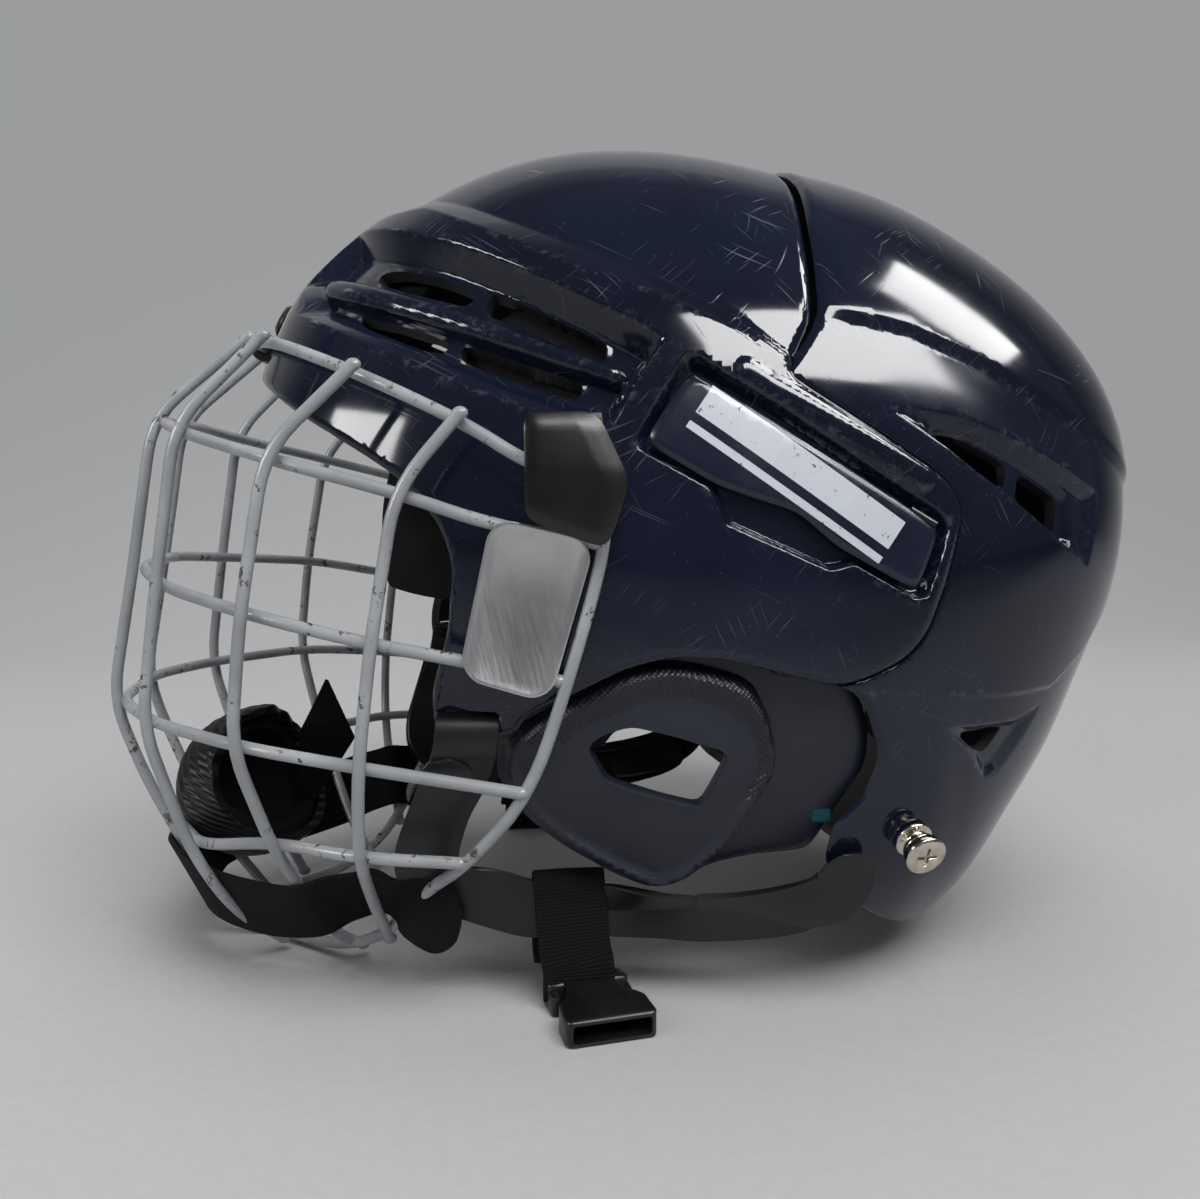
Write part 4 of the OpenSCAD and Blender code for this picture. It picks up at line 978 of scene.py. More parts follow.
class HelmetFinish(bpy.types.PropertyGroup):
    shell: bpy.props.FloatVectorProperty(
        name="Shell", description="Colour of the shells", subtype="COLOR", size=4, default=linear("#161c2f"))
    shell_deep: bpy.props.FloatVectorProperty(
        name="Shell shade", description="Darker tone of the shells", subtype="COLOR", size=4,
        default=linear("#0e1322"))
    stripe: bpy.props.FloatVectorProperty(
        name="Stripe", description="Colour of the latches' printed stripes", subtype="COLOR", size=4,
        default=linear("#ccd1d9"))
    floor: bpy.props.FloatVectorProperty(
        name="Floor", description="Colour of the floor and wall", subtype="COLOR", size=4,
        default=linear("#b9b9ba"))


class HELMET_OT_front_shell(bpy.types.Operator):
    """Moulds the front shell with its crown, brow band, vents, wings and latch recesses"""
    bl_idname = "helmet.front_shell"
    bl_label = "Front Shell"

    def execute(self, context):
        sizes = context.scene.helmet_shell
        strap_slot = [(-58.5, 77.8), (-43.5, 77.8), (-43.5, 74.6), (-58.5, 74.6)]
        levels = beside(under_crease, -0.5, 0, 0.5) + beside(under_ledge, -0.5, 0, 0.5)
        levels += beside(in_recess, -0.45, 0, 0.45, VENT_WALL - 0.45, VENT_WALL, VENT_WALL + 0.45)
        levels += beside(on_bar, -0.8, 0, 0.25, 0.8, 1.6) + beside(on_panel, -0.3, 0.3, 1.0)
        levels += beside(in_latch, -0.4, 0, 0.55, 1.1, 1.5) + beside(on_ridge, 0, 0.8, 2.0)
        levels += beside(in_slots, -1.1) + beside(in_rim, 0.4, 1.1, 2.2)
        piece = shell_half("front_shell_half", FRONT_OUTLINE, SOFT_SLOTS + [strap_slot], levels, front_height,
                           front_wear, sizes, sizes.cuts, front_thin)
        whole_shell(piece, sizes.wall, "Front_shell", ["front_shell"])
        return {"FINISHED"}


class HELMET_OT_rear_shell(bpy.types.Operator):
    """Moulds the rear shell with its vents, its nape and the flange that slides under the front shell"""
    bl_idname = "helmet.rear_shell"
    bl_label = "Rear Shell"

    def execute(self, context):
        sizes = context.scene.helmet_shell
        levels = beside(under_wing, -0.35, 0, 0.8, 1.6) + beside(rear_crease, -3, -0.4, 0.4)
        levels += beside(in_rear_vent, -0.45, 0, 0.45, 2.7, 3.2) + beside(in_rear_step, -0.4, 0, 0.6, 1.2, 1.6)
        levels += beside(in_low_vent, -0.45, 0, 0.45, 2.3, 2.8) + beside(under_waist, -0.45, 0, 1.4)
        levels += beside(within(REAR_OUTLINE), 0.4, 1.1, 2.2)
        piece = shell_half("rear_shell_half", REAR_OUTLINE, SOFT_REAR_SLOTS + [rounded(LOW_SLOT, 2, 3, True)],
                           levels, rear_height, rear_wear, sizes, sizes.rear_cuts)
        whole_shell(piece, sizes.wall, "Rear_shell", ["rear_shell"])
        return {"FINISHED"}


# Pieces that follow the dome


def side_plate(name, outline, spacing, height, holes=(), levels=()):
    """A left plate that lies on the dome: a grid cut to a side view outline, then set off by its height."""
    start_fresh()
    corners = np.asarray(outline)
    low, high = corners.min(0) - 1, corners.max(0) + 1
    count = np.maximum(2, ((high - low) / spacing).astype(int))
    bpy.ops.mesh.primitive_grid_add(x_subdivisions=int(count[0]), y_subdivisions=int(count[1]), size=2)
    piece = bpy.context.object
    piece.name = name
    spot = raw_points(piece)
    x = low[0] + (spot[:, 0] + 1) / 2 * (high[0] - low[0])
    z = low[1] + (spot[:, 1] + 1) / 2 * (high[1] - low[1])
    set_positions(piece, np.column_stack([x, np.full(len(x), -100.0), z]))
    cut_along(piece, within(outline))
    for hole in holes:
        cut_along(piece, lambda p, hole=hole: -inside_by(p[:, 0], p[:, 2], hole))
    for level in levels:
        cut_along(piece, level, remove=False)
    p = positions(piece)
    p[:, 1] = -side_y(p[:, 0], p[:, 2], height(p))
    set_positions(piece, p)
    return facing_left(recalculated(piece))


def thicken(piece, thickness, edge, segments=2):
    """Gives a sheet its wall on the inner side and rounds its edges."""
    modify(piece, "SOLIDIFY", thickness=thickness * MM, offset=-1.0, use_even_offset=True)
    if edge:
        modify(piece, "BEVEL", width=edge * MM, segments=segments, limit_method="ANGLE",
               angle_limit=math.radians(STEP_ANGLE), use_clamp_overlap=True)
    return piece


def tube_along(name, points, diameter, closed=False, sides=5):
    """A round bar along points, as a curve with a round bevel that is then made a mesh."""
    curve = bpy.data.curves.new(name, "CURVE")
    curve.dimensions = "3D"
    curve.bevel_depth = diameter / 2 * MM
    curve.bevel_resolution = sides
    curve.use_fill_caps = True
    spline = curve.splines.new("POLY")
    spline.points.add(len(points) - 1)
    for spot, point in zip(spline.points, points):
        spot.co = (*place(point), 1)
    spline.use_cyclic_u = closed
    bar = bpy.data.objects.new(name, curve)
    bpy.context.collection.objects.link(bar)
    only(bar)
    bpy.ops.object.convert(target="MESH")
    return bpy.context.object


def smooth_path(points, each):
    """Points along a Catmull-Rom curve through the given rows, each leg cut into as many parts."""
    rows = np.array(points, float)
    rows = np.vstack([2 * rows[0] - rows[1], rows, 2 * rows[-1] - rows[-2]])
    out = []
    for i in range(1, len(rows) - 2):
        p0, p1, p2, p3 = rows[i - 1:i + 3]
        for k in range(each):
            u = k / each
            out.append(0.5 * (2 * p1 + (p2 - p0) * u + (2 * p0 - 5 * p1 + 4 * p2 - p3) * u * u
                              + (3 * p1 - p0 - 3 * p2 + p3) * u ** 3))
    out.append(rows[-2])
    return np.array(out)


def ribbon(name, path, width, thickness, each=5, across=6, ends=(0, 0), crown=0.0, edge=0.3):
    """A flat strap along a path. Each row holds a place and the way of the strap's width.

    ends are the radii that its two tips are rounded by, and crown lifts the strap's middle.
    """
    rows = smooth_path([list(p) + list(w) for p, w in path], each)
    spots, wide = rows[:, :3], rows[:, 3:]
    tangent = np.gradient(spots, axis=0)
    tangent /= np.linalg.norm(tangent, axis=1)[:, None]
    wide = wide - tangent * (wide * tangent).sum(1)[:, None]
    wide /= np.linalg.norm(wide, axis=1)[:, None]
    out = np.cross(tangent, wide)
    run = np.concatenate([[0], np.cumsum(np.linalg.norm(np.diff(spots, axis=0), axis=1))])
    half = np.full(len(run), width / 2)
    for radius, away in zip(ends, (run, run[-1] - run)):
        if radius:
            near = np.clip(away / radius, 0, 1)
            half = np.minimum(half, width / 2 - radius + radius * np.sqrt(np.maximum(0.0, 1 - (1 - near) ** 2)))
    half = np.maximum(half, 0.4)
    start_fresh()
    bpy.ops.mesh.primitive_grid_add(x_subdivisions=len(run) - 1, y_subdivisions=across, size=2)
    piece = bpy.context.object
    piece.name = name
    grid = raw_points(piece)
    along = np.clip(np.round((grid[:, 0] + 1) / 2 * (len(run) - 1)).astype(int), 0, len(run) - 1)
    side = grid[:, 1]
    lift = crown * (1 - side ** 2)
    points = spots[along] + wide[along] * (half[along] * side)[:, None] \
        + out[along] * (lift + thickness / 2)[:, None]
    set_positions(piece, points)
    set_uv(piece, np.column_stack([half[along] * side, run[along]]))
    modify(piece, "SOLIDIFY", thickness=thickness * MM, offset=-1.0 if facing_out(piece, out, along) else 1.0)
    if edge:
        modify(piece, "BEVEL", width=edge * MM, segments=1, limit_method="ANGLE", angle_limit=math.radians(STEP_ANGLE))
    return recalculated(piece)


def facing_out(piece, out, along):
    """True if a strap's first face looks the way that its thickness was raised."""
    face = piece.data.polygons[len(piece.data.polygons) // 2]
    return Vector(out[along[face.vertices[0]]]).dot(face.normal) > 0


def facing_left(piece):
    """Turns the faces of a left plate outwards, by its first one."""
    if piece.data.polygons[0].normal.y > 0:
        piece.data.flip_normals()
    return piece


def recalculated(piece):
    """Makes the faces of a piece agree on which side is out."""
    only(piece)
    bpy.ops.object.mode_set(mode="EDIT")
    bpy.ops.mesh.select_all(action="SELECT")
    bpy.ops.mesh.normals_make_consistent(inside=False)
    bpy.ops.object.mode_set(mode="OBJECT")
    return piece


def joined(first, *others):
    """Joins meshes into the first one."""
    start_fresh()
    for piece in (first, *others):
        piece.select_set(True)
    bpy.context.view_layer.objects.active = first
    bpy.ops.object.join()
    return first


def block(name, centre, size, edge=0.0, segments=2, turn=0.0):
    """A box with rounded edges; its turn is in degrees about the upright axis."""
    start_fresh()
    bpy.ops.mesh.primitive_cube_add(size=1, location=place(centre), rotation=(0, 0, math.radians(turn)))
    piece = bpy.context.object
    piece.name = name
    piece.scale = [s * MM for s in size]
    settle(piece)
    if edge:
        modify(piece, "BEVEL", width=edge * MM, segments=segments, limit_method="ANGLE")
    return piece


class HELMET_OT_latches(bpy.types.Operator):
    """Cuts the two glossy adjuster latches that lock the shells, with their finger notch and rounded rim"""
    bl_idname = "helmet.latches"
    bl_label = "Adjuster Latches"

    def execute(self, context):
        outline = rounded(LATCH_PLATE, 3.4, 4, True)
        rim = within(outline)
        piece = side_plate("latch", outline, 1.6, lambda p: 1.9 - 0.75 * np.clip(1 - rim(p) / 1.5, 0, 1) ** 1.5,
                           levels=[within(outline, step) for step in (0.5, 1.0, 1.5)])
        thicken(piece, 1.9, 0.2)
        to_both_sides(piece, "Latch_{}", "latch_{}", finish_of("latch_print"), ["latch_{}"])
        return {"FINISHED"}


GUARD_OUTLINE = [
    (-42.4, 79), (-43.6, 70), (-44, 62), (-42.6, 57.2), (-37.2, 49.4), (-27.5, 41), (-13.4, 32.2), (-6.2, 28.8),
    (-2.6, 28.8), (4, 31.8), (7, 35.6), (17.3, 38.7), (27.8, 39.5), (33, 40), (38.5, 52), (44.6, 62), (45, 71),
    (42, 80), (36, 88), (8, 97), (-6, 98), (-20, 95.5), (-32, 91), (-39, 88),
]
GUARD_RING = [
    (-42.7, 70.9), (-37.5, 74.6), (-28.5, 80.4), (-20.8, 84.6), (-15.7, 87.7), (-9.3, 89.4), (-2.8, 89.9), (5.7, 88.3),
    (14.4, 85.2), (17.2, 81.1), (20.1, 74.8), (22, 65), (21.1, 59.9), (16.2, 52.6), (11.1, 41.8), (6.1, 36.8),
    (3.2, 32.5), (-2.7, 30), (-6.2, 30), (-13.4, 33.4), (-27.5, 42.2), (-37.2, 50.5), (-42, 58.4), (-43.2, 66.5),
]
GUARD_FIELD = [
    (-39.6, 63.7), (-35, 66.1), (-26.7, 72), (-19, 76.3), (-12, 79.7), (-6.9, 82.1), (0.2, 81.4), (8.8, 78.2),
    (14.2, 74.7), (17.2, 67.7), (17.5, 62.8), (13.4, 54.9), (7.4, 44.6), (0, 37), (-3.4, 35), (-6, 35), (-13, 38.4),
    (-26.4, 46.8), (-34.6, 54.4), (-37.4, 59.6),
]
GUARD_WINDOW = [
    (-23.1, 68.3), (-22.5, 70), (-19.6, 72.2), (-13.2, 74.3), (-3.4, 71.9), (9.2, 67.9), (9.7, 65.8), (4.7, 54.7),
    (2.8, 53.6), (-6, 55.9), (-18.6, 60.1),
]


class HELMET_OT_ear_guards(bpy.types.Operator):
    """Moulds the two ear guards: a raised ring with a dotted rim and a window, on a plate inside the shell"""
    bl_idname = "helmet.ear_guards"
    bl_label = "Ear Guards"

    def execute(self, context):
        outline = rounded(GUARD_OUTLINE, 3.5, 3, True)
        ring = rounded(GUARD_RING, 4, 4, True)
        field = rounded(GUARD_FIELD, 4, 4, True)
        window = rounded(GUARD_WINDOW, 2.4, 4, True)

        def height(p):
            x, z = p[:, 0], p[:, 2]
            into = inside_by(x, z, ring)
            to_field = np.maximum(0, -inside_by(x, z, field))
            share = np.clip(into / np.maximum(into + to_field, 0.01), 0, 1)
            swell = np.sin(np.minimum(1, share / 0.42) * math.pi / 2) * (1 - 0.42 * smooth_step(0.42, 1, share))
            lip = 0.7 * np.clip(1 + inside_by(x, z, window) / 1.6, 0, 1)
            roll = np.clip(1 - inside_by(x, z, outline) / 1.4, 0, 1) ** 2
            return GUARD_SEAT + 4.2 * swell * (into > 0) + lip * 0.4 - roll

        levels = [within(ring), within(field), within(ring, 1.0), within(ring, 3.0)]
        piece = side_plate("ear_guard", outline, 1.5, height, [window], levels)
        p = positions(piece)
        into = inside_by(p[:, 0], p[:, 2], ring)
        dots = (into > 0) & (inside_by(p[:, 0], p[:, 2], field) <= 0.1) & (p[:, 2] > 60 - 0.25 * p[:, 0])
        set_value(piece, "rim", dots.astype(float))
        thicken(piece, 2.8, 0.25)
        to_both_sides(piece, "Ear_guard_{}", "front_shell", finish_of("guard"), ["ear_guard_{}"], 45)
        return {"FINISHED"}


FLAP_OUTLINE = [
    (-38.6, 146.4), (-22.4, 146.6), (-15.4, 131.4), (-19.8, 118.4), (-22, 117), (-37, 122.6), (-38.6, 125),
]


class HELMET_OT_side_flaps(bpy.types.Operator):
    """Moulds the two vinyl flaps that hold the cage's wire against the shell"""
    bl_idname = "helmet.side_flaps"
    bl_label = "Side Flaps"

    def execute(self, context):
        outline = rounded(FLAP_OUTLINE, 3.2, 4, True)
        start_fresh()
        bpy.ops.mesh.primitive_grid_add(x_subdivisions=22, y_subdivisions=26, size=2)
        piece = context.object
        spot = raw_points(piece)
        set_positions(piece, np.column_stack(
            [-27 + 13.5 * spot[:, 0], np.full(len(spot), -98.0), 131.5 + 17 * spot[:, 1]]))
        cut_along(piece, within(outline))
        facet = lambda p: (p[:, 0] + 24.6) * 0.906 - (139.0 - p[:, 2]) * 0.42
        cut_along(piece, facet, remove=False)
        p = positions(piece)
        rim = np.clip(1 - inside_by(p[:, 0], p[:, 2], outline) / 3, 0, 1)
        out = np.interp(p[:, 2], [116, 134, 143, 148], [98.9, 99.2, 98.3, 97.0])
        fall = np.maximum(0, facet(p)) * 0.2
        p[:, 1] = -(out - fall - 0.8 * rim ** 2)
        set_positions(piece, p)
        facing_left(piece)
        thicken(piece, 2.0, 0.5, 3)
        to_both_sides(piece, "Side_flap_{}", "side_flap_{}", finish_of("vinyl"), ["side_flap_{}"], 35)
        return {"FINISHED"}


class HELMET_OT_cage_plates(bpy.types.Operator):
    """Presses the two brushed side plates of the cage, with rounded corners and a thin raised rim"""
    bl_idname = "helmet.cage_plates"
    bl_label = "Cage Side Plates"

    def execute(self, context):
        start_fresh()
        bpy.ops.mesh.primitive_plane_add(size=2)
        piece = context.object
        corners = {(-1, -1): (-53.4, 87.8), (1, -1): (-33, 81.6), (1, 1): (-22.4, 118.2), (-1, 1): (-45.6, 123.8)}
        for vert in piece.data.vertices:
            x, z = corners[(round(vert.co.x), round(vert.co.y))]
            vert.co = place((x, -(94.9 + 0.05 * x + 1.2) + 0.6, z))
        recalculated(piece)
        facing_left(piece)
        modify(piece, "BEVEL", affect="VERTICES", width=0.0058, segments=8)
        only(piece)
        bpy.ops.object.mode_set(mode="EDIT")
        bpy.ops.mesh.select_all(action="SELECT")
        bpy.ops.mesh.inset(thickness=0.0007)
        bpy.ops.mesh.inset(thickness=0.0005, depth=-0.00028)
        bpy.ops.object.mode_set(mode="OBJECT")
        thicken(piece, context.scene.helmet_cage.plate / MM, 0.18)
        to_both_sides(piece, "Cage_plate_{}", "cage", finish_of("plate"), ["cage_plate_{}"], 30)
        return {"FINISHED"}


# The cage's routes on the right side, y outwards
FRAME_HALF = [
    (-104, 20, 167.4), (-96, 49, 165), (-73.5, 76.4, 155.2), (-51, 86, 144.3), (-36, 91.5, 134.5), (-21, 93, 131),
    (-19.7, 92.6, 118), (-28, 92.6, 88), (-37.4, 92, 60), (-52, 84.5, 41.5), (-62, 70, 30.5), (-72, 51, 12.5),
    (-85, 35, 3.6), (-104, 18, 2.4),
]
UPRIGHTS = {
    "bar_inner": [(-106.3, 20, 169), (-132, 20, 147.2), (-138.7, 20, 107.3), (-145.5, 20, 70.9), (-137.5, 19, 47.5),
                  (-123, 18, 18), (-110, 14, 2.6)],
    "bar_mid": [(-98.9, 49, 166.6), (-120.6, 49, 145), (-126.9, 49, 104), (-131.4, 49, 69.9), (-121.4, 47, 36.4),
                (-112, 42, 18), (-101, 28, 4)],
    "bar_outer": [(-75.5, 79, 157.4), (-95.5, 79, 138), (-102.2, 78.4, 100.5), (-105.4, 76.6, 69.8),
                  (-97.7, 66, 40.8), (-86, 46, 12), (-79, 36, 4.4)],
    "bar_side": [(-52, 88.8, 146.4), (-66.5, 88, 129.5), (-72.7, 88, 94.3), (-76, 88.4, 66), (-76.6, 84, 45),
                 (-74.6, 68, 28.5), (-71, 52, 12)],
}
CROSS_BARS = {
    "cross_bar_eye": [(-130, 20, 146.5), (-117.9, 48.4, 142.4), (-93.9, 76.8, 136), (-65.7, 85.3, 128.6),
                      (-46, 90.2, 121.8), (-22.4, 92.2, 117.6)],
    "cross_bar_nose": [(-136.7, 20, 107.2), (-124.1, 48.6, 104.3), (-99.7, 76.6, 100.6), (-72.4, 85.2, 94.6),
                       (-52, 90.2, 91.2), (-30.6, 92, 86.4)],
    "cross_bar_mouth": [(-143.3, 20, 70.9), (-128.7, 48.4, 70.2), (-103.2, 75, 69.4), (-75.8, 85.5, 66.2),
                        (-39.5, 91.6, 60.6)],
    "cross_bar_chin": [(-133.7, 5, 34.4), (-128.2, 18, 33.6), (-118.8, 45.5, 37), (-98.8, 62.8, 42.6),
                       (-76.2, 81.2, 43.6), (-53.4, 83.4, 42)],
}


class HELMET_OT_cage_wires(bpy.types.Operator):
    """Bends the cage's round wires and lays a small weld where a bar ends on another"""
    bl_idname = "helmet.cage_wires"
    bl_label = "Cage Wires"

    def execute(self, context):
        sizes = context.scene.helmet_cage
        wire, reach = sizes.wire / MM, sizes.reach / MM
        finish = finish_of("wire")

        def left(route):
            return [(x, -y, z) for x, y, z in route]

        def weld(spot, radius=2.0):
            start_fresh()
            bpy.ops.mesh.primitive_ico_sphere_add(subdivisions=2, radius=radius * MM, location=place(spot))
            blob = context.object
            blob.scale = (1.0, 0.85, 0.8)
            return settle(blob)

        route = rounded(left(FRAME_HALF), 14, 6)
        other = rounded(FRAME_HALF[::-1], 14, 6)
        loop = tube_along("Cage_frame", list(route) + list(other), wire, closed=True)
        finish_piece(loop, "Cage_frame", "cage", finish, ["cage_frame"], 60)
        for name, half in CROSS_BARS.items():
            bar = tube_along(name, rounded(left(half[::-1]) + list(half), reach, 6), wire)
            for spot in (half[-1], left(half)[-1]):
                bar = joined(bar, weld(spot))
            finish_piece(bar, name.capitalize(), "cage", finish, [name], 60)
        for name, half in UPRIGHTS.items():
            bar = tube_along(name, rounded(left(half), reach * 0.8, 5), wire)
            for spot in (left(half)[0], left(half)[-1]):
                bar = joined(bar, weld(spot, 1.9))
            to_both_sides(bar, name.capitalize() + "_{}", "cage", finish, [name + "_{}"], 60)
        return {"FINISHED"}


def dressed_copy(node, name, body, material, edge=0.0, degrees=35):
    """A merged copy of a frame node whose shape is right, with smooth shading and its own finish."""
    piece = frame["nodes"][node].copy()
    piece.data = piece.data.copy()
    bpy.context.collection.objects.link(piece)
    only(piece)
    bpy.ops.object.parent_clear(type="CLEAR_KEEP_TRANSFORM")
    bpy.ops.object.mode_set(mode="EDIT")
    bpy.ops.mesh.select_all(action="SELECT")
    bpy.ops.mesh.remove_doubles(threshold=0.00001)
    bpy.ops.mesh.dissolve_limited(angle_limit=math.radians(1))
    bpy.ops.object.mode_set(mode="OBJECT")
    if edge:
        modify(piece, "BEVEL", width=edge * MM, segments=2, limit_method="ANGLE", angle_limit=math.radians(40))
    return finish_piece(piece, name, body, material, [node], degrees)


class HELMET_OT_forehead_clip(bpy.types.Operator):
    """Moulds the vinyl loop that holds the cage's top bar at the brow, and its black screw"""
    bl_idname = "helmet.forehead_clip"
    bl_label = "Forehead Clip"

    def execute(self, context):
        dressed_copy("forehead_clip", "Forehead_clip", "front_shell", finish_of("vinyl"), 0.5)
        dressed_copy("forehead_screw", "Forehead_screw", "front_shell", finish_of("black_metal"), 0.2)
        return {"FINISHED"}


class HELMET_OT_fasteners(bpy.types.Operator):
    """Finishes the screws, pins, nuts, hinge bases and snap posts"""
    bl_idname = "helmet.fasteners"
    bl_label = "Fasteners"

    def execute(self, context):
        for side in ("left", "right"):
            dressed_copy("snap_post_" + side, "Snap_post_" + side, "rear_shell", finish_of("nickel"), 0.15)
            dressed_copy("flap_base_" + side, "Flap_base_" + side, "front_shell", finish_of("acetal"),
                         0.2)
        dressed_copy("snap_post_nuts", "Snap_post_nuts", "rear_shell", finish_of("zinc"))
        for node in ("ear_guard_screws", "flap_base_screws", "flap_pins"):
            dressed_copy(node, node.capitalize(), "front_shell", finish_of("zinc"))
        dressed_copy("latch_pins", "Latch_pins", "front_shell", finish_of("black_metal"))
        return {"FINISHED"}


FRONT_STRAP = [
    ((-51, -74, 76.4), (1, 0, 0)), ((-51, -82, 76), (1, 0, 0)), ((-51.8, -83.4, 69), (1, 0, 0.02)),
    ((-54, -80.4, 61), (1, 0, 0.1)), ((-58.5, -74.5, 50), (1, 0, 0.1)), ((-60.5, -69, 38), (1, -0.2, 0.3)),
    ((-54, -66.5, 30), (0.7, -0.3, 0.8)), ((-44, -66.5, 26.5), (0.3, 0, 1)), ((-34, -68, 24), (0, 0, 1)),
    ((-17, -69.6, 23.4), (0, -0.2, 1)), ((-6, -71.5, 23.8), (0, -0.8, 1)), ((7, -75, 24.2), (0, -1, 0.9)),
]
STRAP_TAB = [
    ((-55.4, -84.2, 67.5), (1, 0, 0.1)), ((-56.6, -82.4, 61), (1, 0, 0.1)), ((-60.2, -77.6, 50), (1, 0, 0.12)),
    ((-62.6, -74, 42), (1, -0.1, 0.2)), ((-62.6, -71.4, 36), (1, -0.2, 0.3)), ((-61, -70, 31.6), (0.9, -0.3, 0.5)),
]
REAR_STRAP = [
    ((6, -75.4, 24.8), (0, -1, 0.9)), ((16, -78.4, 25.2), (0, -0.9, 1)), ((27, -82.4, 26.6), (-0.3, -0.5, 1)),
    ((35.4, -86.6, 30), (-0.6, -0.2, 0.8)), ((39, -88.4, 35.6), (-0.9, -0.1, 0.4)), ((37.4, -89.4, 42), (-1, 0, -0.1)),
]
LOWER_STRAP = [
    ((34, -84, 28), (-0.4, -0.3, 1)), ((25, -80.8, 24), (-0.2, -0.4, 1)), ((8, -76, 21.6), (0, -0.5, 1)),
    ((-4, -72.6, 22.4), (0, -0.3, 1)), ((-16, -70.4, 23.6), (0, 0, 1)), ((-24, -69.4, 23.6), (0, 0, 1)),
]


class HELMET_OT_straps(bpy.types.Operator):
    """Cuts the vinyl chin straps, two layers of each, that hang from the shells on both sides"""
    bl_idname = "helmet.straps"
    bl_label = "Vinyl Straps"

    def execute(self, context):
        sizes = context.scene.helmet_strap
        width, thick = sizes.vinyl_width / MM, sizes.vinyl / MM
        piece = ribbon("front_strap", FRONT_STRAP, width, thick * 0.9, 6, 6, crown=0.25)
        piece = joined(piece, ribbon("tab", STRAP_TAB, width * 0.8, 1.2, 6, 6, ends=(5, 0), crown=0.2))
        to_both_sides(piece, "Front_strap_{}", "front_shell", finish_of("strap"), ["front_strap_{}"])
        hook = ribbon("rear_strap", REAR_STRAP, width, thick, 6, 6, ends=(0, 7), crown=0.5)
        hook = joined(hook, ribbon("lower_strap", LOWER_STRAP, width * 0.9, thick, 6, 6, ends=(5, 0), crown=0.4))
        to_both_sides(hook, "Rear_strap_{}", "rear_shell", finish_of("strap"), ["rear_strap_{}"])
        return {"FINISHED"}


BUCKLE_WEB = [
    ((-26, -71.2, 11.6), (1, 0, 0)), ((-26, -66.6, 13), (1, 0, 0)), ((-26, -65.8, 17), (1, 0, 0)),
    ((-26, -65.8, 30), (1, 0, 0)), ((-26, -68.4, 33.4), (1, 0, 0)), ((-26, -71, 30), (1, 0, 0)),
    ((-25, -72.8, 16), (1, 0, 0)), ((-24, -73.5, 10), (1, 0, 0)), ((-24, -73.5, 2), (1, 0, 0)),
]


class HELMET_OT_buckle_webbing(bpy.types.Operator):
    """Loops the woven webbing of each half of the buckle over its strap"""
    bl_idname = "helmet.buckle_webbing"
    bl_label = "Buckle Webbing"

    def execute(self, context):
        sizes = context.scene.helmet_strap
        piece = ribbon("buckle_web", BUCKLE_WEB, sizes.web_width / MM, sizes.web / MM, 6, 8, crown=0.2)
        to_both_sides(piece, "Buckle_web_{}", "front_shell", finish_of("webbing"), ["buckle_web_{}"])
        return {"FINISHED"}


# The webbing weaves between the wires: behind bar_side, before bar_outer, behind bar_mid, round bar_inner
CAGE_WEB_HALF = [
    ((-52.8, 69.8, 23.4), (-0.04, 0.25, 0.96)), ((-60, 69, 23.5), (-0.06, 0.29, 0.95)),
    ((-67.5, 65, 24.4), (-0.08, 0.5, 0.83)), ((-73.5, 58.5, 26.6), (-0.1, 0.69, 0.71)),
    ((-82.5, 56.4, 25), (-0.2, 0.63, 0.74)), ((-91.2, 55.7, 21.9), (-0.32, 0.54, 0.78)),
    ((-102.5, 48.6, 20.4), (-0.4, 0.36, 0.83)), ((-112.5, 40, 20), (-0.44, 0.23, 0.86)),
    ((-121.5, 30, 20.6), (-0.44, 0.1, 0.88)), ((-127.4, 18.4, 20.9), (-0.44, 0.03, 0.9)),
    ((-128.6, 9, 21), (-0.44, 0.01, 0.9)),
]
CAGE_WEB = [((x, -y, z), (u, -v, w)) for (x, y, z), (u, v, w) in CAGE_WEB_HALF] + [
    ((-129, 0, 21), (-0.44, 0, 0.9))] + CAGE_WEB_HALF[::-1]


class HELMET_OT_cage_webbing(bpy.types.Operator):
    """Runs the wide webbing through the cage in front of the chin cup"""
    bl_idname = "helmet.cage_webbing"
    bl_label = "Cage Webbing"

    def execute(self, context):
        piece = ribbon("cage_webbing", CAGE_WEB, 22, context.scene.helmet_strap.web / MM, 6, 8, ends=(9, 9))
        finish_piece(piece, "Cage_webbing", "cage", finish_of("webbing"), ["cage_webbing"])
        return {"FINISHED"}


# Buckle, chin cup and pads


def slab(name, outline, low, high, edge, segments=2):
    """A plan outline raised from one height to another, its edges rounded."""
    start_fresh()
    bpy.ops.mesh.primitive_circle_add(vertices=len(outline), fill_type="NGON")
    piece = bpy.context.object
    piece.name = name
    set_positions(piece, np.array([(x, y, low) for x, y in outline]))
    bpy.ops.object.mode_set(mode="EDIT")
    bpy.ops.mesh.select_all(action="SELECT")
    bpy.ops.mesh.extrude_region_move(TRANSFORM_OT_translate={"value": (0, 0, (high - low) * MM)})
    bpy.ops.object.mode_set(mode="OBJECT")
    recalculated(piece)
    return modify(piece, "BEVEL", width=edge * MM, segments=segments, limit_method="ANGLE")


def carve(piece, tool, operation="DIFFERENCE"):
    """Cuts a tool piece out of a piece, or adds it, and deletes the tool."""
    modify(piece, "BOOLEAN", object=tool, operation=operation, solver="EXACT")
    bpy.data.objects.remove(tool)
    return piece


def mirrored_outline(half):
    return half + [(-x, y) for x, y in half[::-1]]


